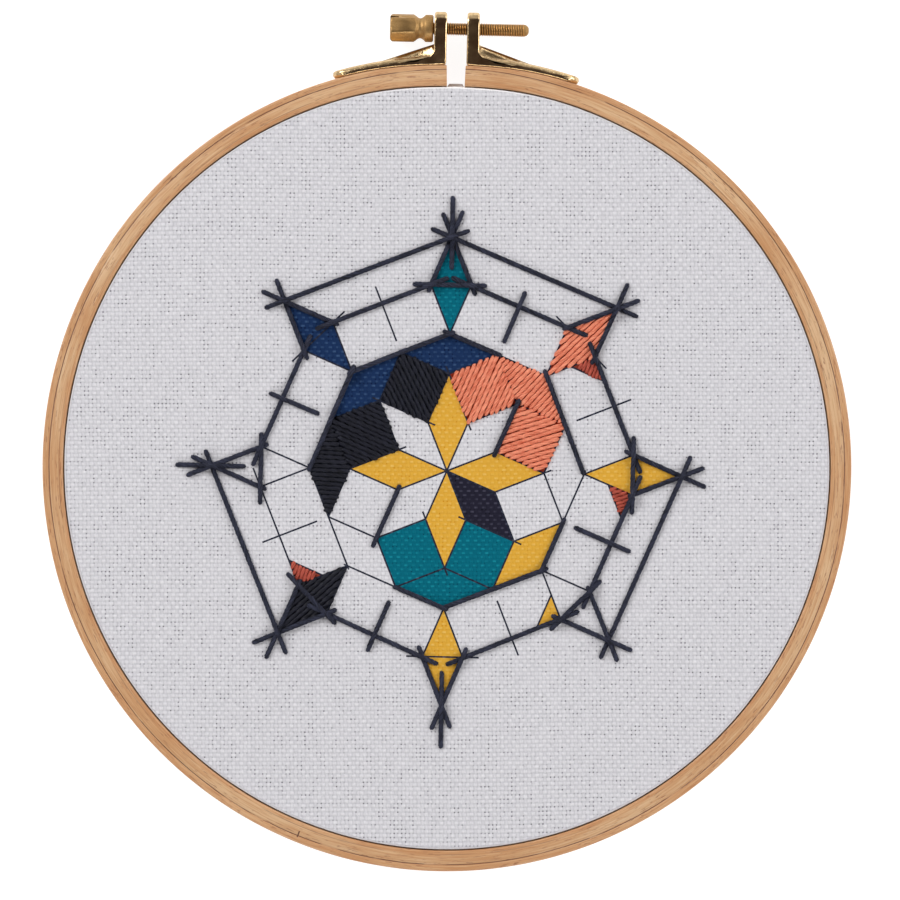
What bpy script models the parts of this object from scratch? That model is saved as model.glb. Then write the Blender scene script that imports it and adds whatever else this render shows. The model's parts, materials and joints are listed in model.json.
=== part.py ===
"""Hoop embroidery art: a taut round of cloth held between two beech rings.

The hoop lies on its back. +Z is the side that the needlework faces, +Y runs from the hoop's centre
to the tightening screw, and the origin is under the middle of the whole piece, on the surface.
Sizes are in metres.
"""

import math

import bmesh
import bpy
from mathutils import Vector

# Driving sizes of the hoop
HOOP_RADIUS = 0.1000        # outside of the outer ring
RING_DEPTH = 0.0090         # front to back
OUTER_WALL = 0.0051         # radial width of the outer ring
INNER_WALL = 0.0045         # radial width of the inner ring
SPLIT_WIDTH = 0.0047        # gap between the outer ring's two ends
RING_EDGE = 0.0004          # rounding of the wooden edges
PIECE_GAP = 0.0003          # running clearance between neighbours

# The cloth
CLOTH_THICK = 0.0010
CLOTH_SET_BACK = 0.0003     # the cloth's face below the outer ring's face
CLOTH_SHOULDER = 0.0011     # outer rounding where the cloth turns down over the inner ring
CLOTH_TUCK = 0.0006         # inner rounding at the same place
CLOTH_HEM_LIFT = 0.0004     # trimmed edge above the surface

# The brackets
LUG_INNER = 0.0025          # lug's inner face from the centre line
LUG_THICK = 0.0031
LUG_TOP = 0.1127            # lug's top from the hoop's centre
LUG_CORNER = 0.0026         # rounded top corners, seen along the screw
LUG_EDGE = 0.0006           # rounded top edges, seen from the front
BRACKET_WIDTH = 0.0084      # front to back
BRACKET_SEAT = 0.0001       # clearance between the foot and the ring
BRACKET_EDGE = 0.0003       # rounding of the front and back edges
FOOT_RIM = 0.0015           # foot's thickness at its front and back edges
FOOT_CROWN = 0.0018         # foot's thickness along its middle
FOOT_REACH = 17.6           # foot's tip from the centre line, degrees
FOOT_START = 2.6            # end of the foot's curved seat beside the heel, degrees
FOOT_TIP = 0.0034           # rounding of the foot's end, seen from above
HEEL_RADIUS = 0.0006
FILLET = 0.0020             # inside corner between lug and foot
RIB_HEIGHT = 0.0046         # rib's top at the lug, above the ring
RIB_REACH = 10.4            # rib's far end from the centre line, degrees
RIB_HALF = 0.0011           # half of the rib's full width
RIB_SHOULDER = 0.0019       # where the rib has sunk back into the foot, from the middle

# The screw
SCREW_AXIS = 0.1086         # from the hoop's centre
SHANK_RADIUS = 0.0016
SHANK_END = 0.0178
SHANK_NOSE = 0.0005         # rounded end
BORE_RADIUS = 0.0019
COLLAR_RADIUS = 0.0034
COLLAR_LENGTH = 0.0019
COLLAR_EDGE = 0.0003
NECK_RADIUS = 0.0025
NECK_LENGTH = 0.0023
NECK_START = 0.15           # share of the neck's wave that the knob hides
HEX_FLATS = 0.0061
HEX_SIDE = 60.0             # one side of the hexagon, degrees
HEX_LENGTH = 0.0065
HEX_CHAMFER = 0.0006
HEX_END_RADIUS = 0.0028     # flat round at the knob's end
HEX_TURN = -21.0            # a corner's angle from +Z towards +Y, degrees
SLOT_TURN = 57.0            # slot's plane from +Z towards +Y, degrees
SLOT_WIDTH = 0.0010
SLOT_DEPTH = 0.0021
SLOT_REACH = 0.0244         # slot cutter's length, well past the knob

# Facets
RING_STEPS = 120
INNER_STEPS = 96
SCREW_STEPS = 36
BORE_STEPS = 24
EDGE_STEPS = 3              # along a small rounding
SHOULDER_STEPS = 4          # over the cloth's shoulder
TUCK_STEPS = 2
HOLLOW_STEPS = 8            # along the hollow between lug and foot
FOOT_STEPS = 8              # along the foot's top, and along its seat
TIP_STEPS = 4               # round the foot's end
FLANK_STEPS = 3             # from the bracket's front edge back to its rib
NECK_STEPS = 8
BEVEL_STEPS = 2
SHARP_ANGLE = 35.0          # an edge sharper than this stays crisp, degrees
BEVEL_ANGLE = 40.0          # an edge sharper than this is rounded, degrees

# Worked out from the sizes above
CENTRE_Y = -(LUG_TOP - HOOP_RADIUS) / 2
MIDDLE_Z = RING_DEPTH / 2
OUTER_INSIDE = HOOP_RADIUS - OUTER_WALL
SKIRT_OUTSIDE = OUTER_INSIDE - PIECE_GAP
SKIRT_INSIDE = SKIRT_OUTSIDE - CLOTH_THICK
CLOTH_FACE = RING_DEPTH - CLOTH_SET_BACK
CLOTH_BACK = CLOTH_FACE - CLOTH_THICK
INNER_OUTSIDE = SKIRT_INSIDE - PIECE_GAP
INNER_INSIDE = INNER_OUTSIDE - INNER_WALL
INNER_TOP = CLOTH_BACK - PIECE_GAP
LUG_OUTER = LUG_INNER + LUG_THICK
FOOT_RADIUS = HOOP_RADIUS + BRACKET_SEAT


def clear_scene():
    """Start from an empty scene."""
    for item in list(bpy.data.objects):
        bpy.data.objects.remove(item, do_unlink=True)


def finish_material(name, colour, roughness, metallic=0.0):
    """A plain finish with one colour."""
    material = bpy.data.materials.new(name)
    material.use_nodes = True
    shader = material.node_tree.nodes["Principled BSDF"]
    shader.inputs["Base Color"].default_value = (*colour, 1.0)
    shader.inputs["Roughness"].default_value = roughness
    shader.inputs["Metallic"].default_value = metallic
    return material


def add_object(name, mesh, parent, location=(0.0, 0.0, 0.0)):
    """Put a mesh in the scene, placed from its parent."""
    item = bpy.data.objects.new(name, mesh)
    item.parent = parent
    item.location = location
    bpy.context.scene.collection.objects.link(item)
    return item


def add_piece(name, mesh, material, parent, location=(0.0, 0.0, 0.0)):
    """A finished piece: round stretches smooth, real edges sharp."""
    mesh.shade_smooth()
    mesh.set_sharp_from_angle(angle=math.radians(SHARP_ANGLE))
    mesh.materials.append(material)
    return add_object(name, mesh, parent, location)


def arc(centre, radius, start, stop, steps):
    """Points of a circular arc, angles in degrees from the first axis."""
    points = []
    for step in range(steps + 1):
        angle = math.radians(start + (stop - start) * step / steps)
        points.append((centre[0] + radius * math.cos(angle), centre[1] + radius * math.sin(angle)))
    return points


def polar(radius, degrees):
    """A point at a radius from the hoop's centre; 0 degrees is +Y and positive is towards +X."""
    angle = math.radians(degrees)
    return (radius * math.sin(angle), radius * math.cos(angle))


def loft(loops, closed_path=False):
    """Skin a row of equal loops, capped at both ends unless the row closes on itself."""
    shape = bmesh.new()
    rows = [[shape.verts.new(point) for point in loop] for loop in loops]
    pairs = list(zip(rows, rows[1:]))
    if closed_path:
        pairs.append((rows[-1], rows[0]))
    for near, far in pairs:
        for index in range(len(near)):
            after = (index + 1) % len(near)
            shape.faces.new((near[index], near[after], far[after], far[index]))
    if not closed_path:
        shape.faces.new(rows[0])
        shape.faces.new(list(reversed(rows[-1])))
    bmesh.ops.recalc_face_normals(shape, faces=shape.faces)
    mesh = bpy.data.meshes.new("loft")
    shape.to_mesh(mesh)
    shape.free()
    return mesh


def circle_at(radius, height, steps):
    """A level circle about the hoop's centre."""
    return [(*polar(radius, 360.0 * step / steps), height) for step in range(steps)]


def outer_ring(wood, parent):
    """The split ring: a bent strip whose two ends face each other under the screw."""
    half_split = math.degrees(math.asin(SPLIT_WIDTH / 2 / HOOP_RADIUS))
    loops = []
    for step in range(RING_STEPS + 1):
        turned = half_split + (360.0 - 2 * half_split) * step / RING_STEPS
        outside = polar(HOOP_RADIUS, turned)
        inside = polar(OUTER_INSIDE, turned)
        if step in (0, RING_STEPS):
            inside = (outside[0], math.sqrt(OUTER_INSIDE ** 2 - outside[0] ** 2))
        loops.append([(*inside, 0.0), (*outside, 0.0), (*outside, RING_DEPTH), (*inside, RING_DEPTH)])
    ring = add_piece("outer_ring", loft(loops), wood, parent)
    rounding = ring.modifiers.new("rounded edges", 'BEVEL')
    rounding.width = RING_EDGE
    rounding.segments = BEVEL_STEPS
    rounding.limit_method = 'ANGLE'
    rounding.angle_limit = math.radians(BEVEL_ANGLE)


def inner_ring(wood, parent):
    """The plain closed ring that the cloth is stretched over."""
    edge = RING_EDGE
    front = 2 * RING_EDGE
    profile = arc((INNER_OUTSIDE - edge, edge), edge, -90, 0, 1)
    profile += arc((INNER_OUTSIDE - front, INNER_TOP - front), front, 0, 90, EDGE_STEPS)
    profile += arc((INNER_INSIDE + edge, INNER_TOP - edge), edge, 90, 180, 1)
    profile += arc((INNER_INSIDE + edge, edge), edge, 180, 270, 1)
    loops = []
    for step in range(INNER_STEPS):
        loops.append([(*polar(radius, 360.0 * step / INNER_STEPS), height) for radius, height in profile])
    add_piece("inner_ring", loft(loops, closed_path=True), wood, parent)


def cloth(weave, parent):
    """The stretched cloth: a taut face, turned down between the rings to its trimmed edge."""
    shoulder = (SKIRT_OUTSIDE - CLOTH_SHOULDER, CLOTH_FACE - CLOTH_SHOULDER)
    tuck = (SKIRT_INSIDE - CLOTH_TUCK, CLOTH_BACK - CLOTH_TUCK)
    profile = arc(shoulder, CLOTH_SHOULDER, 90, 0, SHOULDER_STEPS)
    profile += [(SKIRT_OUTSIDE, CLOTH_HEM_LIFT), (SKIRT_INSIDE, CLOTH_HEM_LIFT)]
    profile += arc(tuck, CLOTH_TUCK, 0, 90, TUCK_STEPS)
    loops = [circle_at(radius, height, INNER_STEPS) for radius, height in profile]
    add_piece("cloth", loft(loops), weave, parent)


def fall(distance, start, stop):
    """1 up to start, 0 from stop on, with a smooth slope between."""
    share = min(max((distance - start) / (stop - start), 0.0), 1.0)
    return 1.0 - share * share * (3.0 - 2.0 * share)


def drawn_in(distance, half, radius):
    """How far a rounded corner has drawn in at a distance from the middle."""
    past = max(distance - (half - radius), 0.0)
    return radius - math.sqrt(max(radius * radius - past * past, 0.0))


def bracket_outline(across):
    """The right bracket seen from the front, at a distance in front of or behind its middle."""
    half = BRACKET_WIDTH / 2
    top = LUG_TOP - drawn_in(across, half, LUG_CORNER)
    tip = FOOT_REACH - math.degrees(drawn_in(across, half, FOOT_TIP) / FOOT_RADIUS)
    crown = FOOT_CROWN + (FOOT_RIM - FOOT_CROWN) * (across / half) ** 2
    foot_top = FOOT_RADIUS + crown
    rib = fall(across, RIB_HALF, RIB_SHOULDER)
    seat_y = math.sqrt(FOOT_RADIUS ** 2 - LUG_INNER ** 2)

    points = arc((LUG_INNER + HEEL_RADIUS, seat_y + HEEL_RADIUS), HEEL_RADIUS, 270, 180, EDGE_STEPS)
    points += arc((LUG_INNER + LUG_EDGE, top - LUG_EDGE), LUG_EDGE, 180, 90, EDGE_STEPS)
    points += arc((LUG_OUTER - LUG_EDGE, top - LUG_EDGE), LUG_EDGE, 90, 0, EDGE_STEPS)

    # The hollow between lug and foot, filled with a straight slope where the rib stands
    hollow_x = LUG_OUTER + FILLET
    hollow_y = math.sqrt((foot_top + FILLET) ** 2 - hollow_x ** 2)
    lean = math.degrees(math.atan2(hollow_x, hollow_y))
    hollow = arc((hollow_x, hollow_y), FILLET, 180, 270 - lean, HOLLOW_STEPS)
    rib_top = Vector((LUG_OUTER, seat_y + RIB_HEIGHT))
    rib_end = Vector(polar(foot_top, RIB_REACH))
    for index, point in enumerate(hollow):
        slope = rib_top.lerp(rib_end, index / HOLLOW_STEPS)
        points.append(tuple(Vector(point).lerp(slope, rib)))

    # The foot's top, its rounded end and its seat on the ring
    roll = crown / 2
    first = math.degrees(math.atan2(*points[-1]))
    last = tip - math.degrees(roll / FOOT_RADIUS)
    points += [polar(foot_top, first + (last - first) * step / FOOT_STEPS) for step in range(1, FOOT_STEPS)]
    points += arc(polar(FOOT_RADIUS + roll, last), roll, 90 - last, -90 - last, TIP_STEPS)
    seat = (FOOT_START - last) / FOOT_STEPS
    points += [polar(FOOT_RADIUS, last + seat * step) for step in range(1, FOOT_STEPS + 1)]
    return points


def shrunk(points, amount):
    """An outline moved inwards by an amount; the outline runs clockwise."""
    moved = []
    for index, point in enumerate(points):
        before = Vector(points[index - 1])
        after = Vector(points[(index + 1) % len(points)])
        along = (after - before).normalized()
        moved.append((point[0] + along.y * amount, point[1] - along.x * amount))
    return moved


def bracket(name, side, metal, parent, bore):
    """One bracket: lug, curved foot and the rib that stiffens the corner between them."""
    half = BRACKET_WIDTH / 2
    broken = BRACKET_EDGE * (1 - math.sqrt(0.5))
    depths = [(half, BRACKET_EDGE), (half - broken, broken), (half - BRACKET_EDGE, 0.0)]
    flank = (half - BRACKET_EDGE - RIB_SHOULDER) / FLANK_STEPS
    depths += [(half - BRACKET_EDGE - flank * step, 0.0) for step in range(1, FLANK_STEPS + 1)]
    depths += [((RIB_SHOULDER + RIB_HALF) / 2, 0.0), (RIB_HALF, 0.0)]
    both = [(depth, inset, 1) for depth, inset in depths]
    both += [(depth, inset, -1) for depth, inset in reversed(depths)]
    loops = []
    for depth, inset, facing in both:
        outline = shrunk(bracket_outline(depth), inset)
        loops.append([(x * side, y, depth * facing) for x, y in outline])
    piece = add_piece(name, loft(loops), metal, parent, (0.0, 0.0, MIDDLE_Z))
    cut = piece.modifiers.new("bore", 'BOOLEAN')
    cut.operation = 'DIFFERENCE'
    cut.solver = 'EXACT'
    cut.object = bore


def cutter(name, mesh, parent, location):
    """A guide that only cuts other pieces."""
    item = add_object(name, mesh, parent, location)
    item.hide_render = True
    item.display_type = 'WIRE'
    return item


def round_at(x, radius, steps):
    """A circle about the screw's axis, first point at the knob's first corner."""
    loop = []
    for step in range(steps):
        angle = math.radians(HEX_TURN + 360.0 * step / steps)
        loop.append((x, radius * math.sin(angle), radius * math.cos(angle)))
    return loop


def hexagon_at(x, limit, steps):
    """The knob's hexagon about the screw's axis, its corners turned down to a limiting radius."""
    loop = []
    for step in range(steps):
        turned = 360.0 * step / steps
        reach = HEX_FLATS / 2 / math.cos(math.radians(turned % HEX_SIDE - HEX_SIDE / 2))
        radius = min(reach, limit)
        angle = math.radians(HEX_TURN + turned)
        loop.append((x, radius * math.sin(angle), radius * math.cos(angle)))
    return loop


def screw(metal, parent):
    """The tightening screw, turned in one piece: slotted hexagon knob, neck, collar and shank."""
    collar_face = -(LUG_OUTER + PIECE_GAP)
    neck_end = collar_face - COLLAR_LENGTH
    hex_end = neck_end - NECK_LENGTH
    hex_start = hex_end - HEX_LENGTH
    corner = HEX_FLATS / 2 / math.cos(math.radians(HEX_SIDE / 2))
    middle = (HEX_END_RADIUS + corner) / 2

    loops = [
        hexagon_at(hex_start, HEX_END_RADIUS, SCREW_STEPS),
        hexagon_at(hex_start + HEX_CHAMFER / 3, middle, SCREW_STEPS),
        hexagon_at(hex_start + HEX_CHAMFER, corner, SCREW_STEPS),
        hexagon_at(hex_end - HEX_CHAMFER, corner, SCREW_STEPS),
        hexagon_at(hex_end - HEX_CHAMFER / 3, middle, SCREW_STEPS),
    ]
    waist = COLLAR_RADIUS - NECK_RADIUS
    for step in range(NECK_STEPS + 1):
        along = step / NECK_STEPS
        wave = NECK_START + (1 - NECK_START) * along
        radius = COLLAR_RADIUS - waist * math.sin(math.pi * wave)
        loops.append(round_at(hex_end + NECK_LENGTH * along, radius, SCREW_STEPS))
    turned = [
        (collar_face - COLLAR_EDGE, COLLAR_RADIUS),
        (collar_face, COLLAR_RADIUS - COLLAR_EDGE),
        (collar_face, SHANK_RADIUS),
    ]
    nose = SHANK_END - SHANK_NOSE
    turned += arc((nose, SHANK_RADIUS - SHANK_NOSE), SHANK_NOSE, 90, 0, EDGE_STEPS)
    loops += [round_at(x, radius, SCREW_STEPS) for x, radius in turned]
    piece = add_piece("screw", loft(loops), metal, parent, (0.0, SCREW_AXIS, MIDDLE_Z))

    shape = bmesh.new()
    bmesh.ops.create_cube(shape, size=1.0)
    size = Vector((2 * SLOT_DEPTH, SLOT_WIDTH, SLOT_REACH))
    bmesh.ops.scale(shape, vec=size, verts=shape.verts)
    mesh = bpy.data.meshes.new("slot")
    shape.to_mesh(mesh)
    shape.free()
    slot = cutter("slot_cutter", mesh, parent, (hex_start, SCREW_AXIS, MIDDLE_Z))
    slot.rotation_euler = (-math.radians(SLOT_TURN), 0.0, 0.0)
    cut = piece.modifiers.new("slot", 'BOOLEAN')
    cut.operation = 'DIFFERENCE'
    cut.solver = 'EXACT'
    cut.object = slot


def bore_cutter(parent):
    """The bore through both lugs."""
    reach = 2 * LUG_OUTER
    mesh = loft([round_at(-reach, BORE_RADIUS, BORE_STEPS), round_at(reach, BORE_RADIUS, BORE_STEPS)])
    return cutter("bore_cutter", mesh, parent, (0.0, SCREW_AXIS, MIDDLE_Z))


def build():
    """Build every piece about the hoop's centre."""
    clear_scene()
    beech = finish_material("beech", (0.60, 0.37, 0.21), 0.55)
    weave = finish_material("white_cotton", (0.66, 0.64, 0.66), 0.90)
    brass_plate = finish_material("polished_brass", (0.60, 0.44, 0.20), 0.20, 1.0)
    brass = finish_material("turned_brass", (0.50, 0.33, 0.14), 0.38, 1.0)

    hoop = add_object("hoop_centre", None, None, (0.0, CENTRE_Y, 0.0))
    outer_ring(beech, hoop)
    inner_ring(beech, hoop)
    cloth(weave, hoop)
    bore = bore_cutter(hoop)
    bracket("bracket_left", -1, brass_plate, hoop, bore)
    bracket("bracket_right", 1, brass_plate, hoop, bore)
    screw(brass, hoop)


build()
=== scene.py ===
# %% [markdown]
# A hoop with its needlework, made ready for the camera.
# The solids give the hoop its size and its joint. This lesson adds what the eye looks for:
# plain-woven cotton pulled tight, stranded thread lying on it, bent beech and polished brass.
# Each piece is built round the solids, in metres, so nothing has to be fitted afterwards.

# %% Load the solids
import cmath
import json
import math
import random

import bmesh
import bpy
from mathutils import Matrix, Vector
from mathutils.geometry import delaunay_2d_cdt


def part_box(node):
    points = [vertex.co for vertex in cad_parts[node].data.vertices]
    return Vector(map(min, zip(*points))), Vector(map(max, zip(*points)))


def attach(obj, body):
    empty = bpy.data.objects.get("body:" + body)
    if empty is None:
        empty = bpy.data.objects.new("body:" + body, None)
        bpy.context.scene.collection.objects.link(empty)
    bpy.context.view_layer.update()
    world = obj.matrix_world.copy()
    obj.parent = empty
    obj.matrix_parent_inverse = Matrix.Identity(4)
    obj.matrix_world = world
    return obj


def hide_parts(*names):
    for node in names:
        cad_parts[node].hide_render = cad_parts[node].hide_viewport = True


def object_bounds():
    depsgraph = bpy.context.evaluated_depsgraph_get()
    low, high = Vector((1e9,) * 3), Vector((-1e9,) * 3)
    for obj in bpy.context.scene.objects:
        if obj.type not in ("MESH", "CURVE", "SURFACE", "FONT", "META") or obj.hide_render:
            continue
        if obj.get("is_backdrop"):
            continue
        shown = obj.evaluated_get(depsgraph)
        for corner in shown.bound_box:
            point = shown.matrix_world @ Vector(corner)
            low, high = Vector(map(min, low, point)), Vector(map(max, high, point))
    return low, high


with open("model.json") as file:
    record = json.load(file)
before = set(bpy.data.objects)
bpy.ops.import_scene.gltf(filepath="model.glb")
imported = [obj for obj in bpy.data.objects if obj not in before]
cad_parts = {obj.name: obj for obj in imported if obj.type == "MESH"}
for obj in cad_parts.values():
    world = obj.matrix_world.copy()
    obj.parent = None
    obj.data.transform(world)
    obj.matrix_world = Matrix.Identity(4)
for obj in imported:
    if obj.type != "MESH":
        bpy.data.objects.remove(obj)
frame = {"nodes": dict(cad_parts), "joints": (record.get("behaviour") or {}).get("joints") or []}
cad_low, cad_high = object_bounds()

MM = 0.001
print("solids:", sorted(frame["nodes"]))

# %% [markdown]
# Sizes come from the solids themselves. The outer ring is round, so half its width is its
# radius, and its lowest point in Y lies one radius below the centre. The inner ring, the cloth
# and the screw give the other radii and heights in the same way.

# %% Sizes read from the solids
outer_low, outer_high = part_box("outer_ring")
inner_low, inner_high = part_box("inner_ring")
cloth_low, cloth_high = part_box("cloth")
screw_low, screw_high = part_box("screw")

hoop_radius = (outer_high.x - outer_low.x) / 2
centre = Vector((0.0, outer_low.y + hoop_radius, 0.0))
ring_top = outer_high.z
inner_radius = (inner_high.x - inner_low.x) / 2
inner_top = inner_high.z
cloth_radius = (cloth_high.x - cloth_low.x) / 2
cloth_face = cloth_high.z
cloth_hem = cloth_low.z
screw_axis = Vector(frame["joints"][0]["pos_m"])
print(f"hoop radius {hoop_radius / MM:.1f} mm, cloth radius {cloth_radius / MM:.1f} mm,",
      f"cloth face at {cloth_face / MM:.1f} mm")

# %% [markdown]
# The picture was taken straight from the front with a long lens, and the hoop was turned a
# little clockwise. A camera 1.2 m above the hoop, looking straight down, gives that view. Its
# focal length follows from how wide the hoop is in the picture, and its aim from where the
# hoop's centre sits there.

# %% Camera
PICTURE_WIDTH = 900          # pixels
HOOP_IN_PICTURE = (446.9, 466.9)   # the hoop's centre, pixels from the top left corner
HOOP_PIXELS = 404.6          # the hoop's radius, pixels
PICTURE_TURN = math.radians(1.33)
CAMERA_DISTANCE = 1.2
SENSOR_WIDTH = 36.0          # millimetres, as Blender counts a sensor


def look_down(name, aim, distance, turn, lens):
    """A camera straight above a point."""
    data = bpy.data.cameras.new(name)
    data.sensor_width = SENSOR_WIDTH
    data.lens = lens
    item = bpy.data.objects.new(name, data)
    item.location = aim + Vector((0.0, 0.0, distance))
    item.rotation_euler = (0.0, 0.0, turn)
    bpy.context.scene.collection.objects.link(item)
    return item


pixel = hoop_radius / HOOP_PIXELS
right = Vector((math.cos(PICTURE_TURN), math.sin(PICTURE_TURN), 0.0))
up = Vector((-math.sin(PICTURE_TURN), math.cos(PICTURE_TURN), 0.0))
aim = centre + right * (PICTURE_WIDTH / 2 - HOOP_IN_PICTURE[0]) * pixel
aim += up * (HOOP_IN_PICTURE[1] - PICTURE_WIDTH / 2) * pixel
aim.z = ring_top
focal = SENSOR_WIDTH * CAMERA_DISTANCE / (PICTURE_WIDTH * pixel)
bpy.context.scene.camera = look_down("camera", aim, CAMERA_DISTANCE, PICTURE_TURN, focal)
bpy.context.scene.view_settings.view_transform = 'Standard'
print(f"lens {focal:.1f} mm, {pixel / MM:.4f} mm to a pixel")

# %% [markdown]
# Shader sums are easier to read as sums. Two small classes make that possible: Wiring adds
# nodes to one tree, and Socket wraps one output so that Python's own operators add Math nodes.
# The same pair serves materials and Geometry Nodes, because both know the Math node.

# %% Sums on sockets
class Socket:
    """One output of a node. Operators on it add Math nodes to the same tree."""

    def __init__(self, wiring, output):
        self.wiring = wiring
        self.output = output

    def also(self, name):
        """Another output of the same node."""
        return Socket(self.wiring, self.output.node.outputs[name])

    def __add__(self, other):
        return self.wiring.maths('ADD', self, other)

    def __sub__(self, other):
        return self.wiring.maths('SUBTRACT', self, other)

    def __rsub__(self, other):
        return self.wiring.maths('SUBTRACT', other, self)

    def __mul__(self, other):
        return self.wiring.maths('MULTIPLY', self, other)

    def __truediv__(self, other):
        return self.wiring.maths('DIVIDE', self, other)

    def __mod__(self, other):
        return self.wiring.maths('FLOORED_MODULO', self, other)

    def __abs__(self):
        return self.wiring.maths('ABSOLUTE', self)

    __rmul__ = __mul__


class Wiring:
    """Adds nodes to one tree, of a material or of Geometry Nodes."""

    def __init__(self, tree):
        self.tree = tree

    def feed(self, entry, value):
        """Link a socket to an entry, or type a value into it."""
        if isinstance(value, Socket):
            self.tree.links.new(value.output, entry)
        else:
            entry.default_value = value

    def node(self, kind, settings=None, entries=None, take=0):
        """Add a node: settings first, then its entries; gives back one of its outputs."""
        made = self.tree.nodes.new(kind)
        for name, value in (settings or {}).items():
            if name == "stops":
                for index, (place, colour) in enumerate(value):
                    stops = made.color_ramp.elements
                    stop = stops[index] if index < len(stops) else stops.new(place)
                    stop.position = place
                    stop.color = colour
            else:
                setattr(made, name, value)
        for key, value in (entries or {}).items():
            self.feed(made.inputs[key], value)
        return Socket(self, made.outputs[take]) if made.outputs else None

    def maths(self, operation, *terms):
        return self.node("ShaderNodeMath", {"operation": operation}, dict(enumerate(terms)))

    def vector(self, operation, *terms):
        entries = dict(enumerate(terms))
        return self.node("ShaderNodeVectorMath", {"operation": operation}, entries)

    def scaled(self, vector, size):
        return self.node("ShaderNodeVectorMath", {"operation": 'SCALE'}, {0: vector, "Scale": size})

    def point(self, x, y, z):
        return self.node("ShaderNodeCombineXYZ", None, {"X": x, "Y": y, "Z": z})

    def jitter(self, where, scale):
        """A smooth random vector, from -0.5 to 0.5 each way."""
        entries = {"Vector": where, "Scale": scale, "Detail": 1.0}
        colour = self.node("ShaderNodeTexNoise", None, entries, take=1)
        return self.vector('SUBTRACT', colour, (0.5, 0.5, 0.5))

    def smooth(self, value, start, stop, low=0.0, high=1.0):
        """A smooth slope from low at start to high at stop."""
        entries = {"Value": value, "From Min": start, "From Max": stop, "To Min": low, "To Max": high}
        return self.node("ShaderNodeMapRange", {"interpolation_type": 'SMOOTHSTEP'}, entries)


class Finish(Wiring):
    """A material on its own Principled shader."""

    def __init__(self, name, roughness, metallic=0.0):
        self.material = bpy.data.materials.new(name)
        self.material.use_nodes = True
        super().__init__(self.material.node_tree)
        self.shader = self.tree.nodes["Principled BSDF"]
        self.set("Roughness", roughness)
        self.set("Metallic", metallic)

    def set(self, name, value):
        """Give the shader a value or a socket."""
        self.feed(self.shader.inputs[name], value)

    def place(self, offset=(0.0, 0.0, 0.0), turn=0.0):
        """Object coordinates, in metres, moved and turned as a pattern needs."""
        where = self.node("ShaderNodeTexCoord", take="Object")
        entries = {"Vector": where, "Location": offset, "Rotation": (0.0, 0.0, turn)}
        return self.node("ShaderNodeMapping", {"vector_type": 'POINT'}, entries)

    def noise(self, where, scale, detail=2.0, roughness=0.5):
        """Smooth noise from 0 to 1."""
        entries = {"Vector": where, "Scale": scale, "Detail": detail, "Roughness": roughness}
        return self.node("ShaderNodeTexNoise", None, entries)

    def blend(self, share, first, second, mode='MIX'):
        """Two colours mixed by a share."""
        settings = {"data_type": 'RGBA', "blend_type": mode}
        return self.node("ShaderNodeMix", settings, {0: share, 6: first, 7: second}, take=2)

    def raise_by(self, height, distance, strength=1.0):
        """Bump, with its full height in metres."""
        entries = {"Height": height, "Distance": distance, "Strength": strength}
        self.set("Normal", self.node("ShaderNodeBump", None, entries))


print("socket sums ready")

# %% [markdown]
# The light is that of a small product studio: big soft boxes low around the object, a strong
# one at the upper left, pale walls and a dark ceiling. The dark ceiling matters, because
# polished brass that faces the camera mirrors it and turns nearly black, while its rounded
# edges catch the boxes. Boxes high overhead would be simpler and would turn the brass pale.

# %% Light and floor
BOXES = [
    # name, place from the hoop, width of the box, power in watts
    ("key box", (-0.95, 0.85, 0.95), 0.80, 16.0),
    ("right box", (1.15, 0.15, 0.80), 0.80, 8.0),
    ("front box", (-0.10, -1.20, 0.80), 0.90, 6.5),
    ("back box", (0.70, 1.10, 0.35), 0.50, 2.0),
]
WALL = (0.60, 0.60, 0.62, 1.0)
CEILING = (0.048, 0.033, 0.030, 1.0)
WALL_TOP = (0.45, 0.80)      # where wall fades into ceiling, as the sine of the angle up
FLOOR_WHITE = (0.30, 0.30, 0.30, 1.0)
FLOOR_GLOW = 0.90
FLOOR_HALF = 3.0
FLOOR_GAP = 0.2 * MM         # just under the hoop, so that their faces don't share a plane


def soft_box(name, place, width, watts):
    """A square area light aimed at the hoop."""
    data = bpy.data.lights.new(name, 'AREA')
    data.shape = 'SQUARE'
    data.size = width
    data.energy = watts
    item = bpy.data.objects.new(name, data)
    item.location = centre + Vector(place)
    item.rotation_euler = (centre - item.location).to_track_quat('-Z', 'Y').to_euler()
    bpy.context.scene.collection.objects.link(item)


def studio_room():
    """Pale walls up to eye height, a dark ceiling above."""
    world = bpy.data.worlds.new("studio room")
    world.use_nodes = True
    room = Wiring(world.node_tree)
    direction = room.node("ShaderNodeTexCoord", take="Generated")
    height = room.node("ShaderNodeSeparateXYZ", None, {0: direction}, take="Z")
    share = room.smooth(height, *WALL_TOP)
    colour = room.node("ShaderNodeMix", {"data_type": 'RGBA'}, {0: share, 6: WALL, 7: CEILING}, take=2)
    room.feed(world.node_tree.nodes["Background"].inputs["Color"], colour)
    bpy.context.scene.world = world


def studio_floor():
    """A plain white floor."""
    white = Finish("floor_white", 0.9)
    white.set("Base Color", FLOOR_WHITE)
    white.set("Emission Color", (1.0, 1.0, 1.0, 1.0))
    white.set("Emission Strength", FLOOR_GLOW)
    mesh = bpy.data.meshes.new("floor")
    corners = [(-1, -1), (1, -1), (1, 1), (-1, 1)]
    points = [(FLOOR_HALF * x, FLOOR_HALF * y, -FLOOR_GAP) for x, y in corners]
    mesh.from_pydata(points, [], [(0, 1, 2, 3)])
    mesh.materials.append(white.material)
    floor = bpy.data.objects.new("floor", mesh)
    bpy.context.scene.collection.objects.link(floor)
    floor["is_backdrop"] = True


for box in BOXES:
    soft_box(*box)
studio_room()
studio_floor()
print("soft boxes:", len(BOXES))

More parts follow.
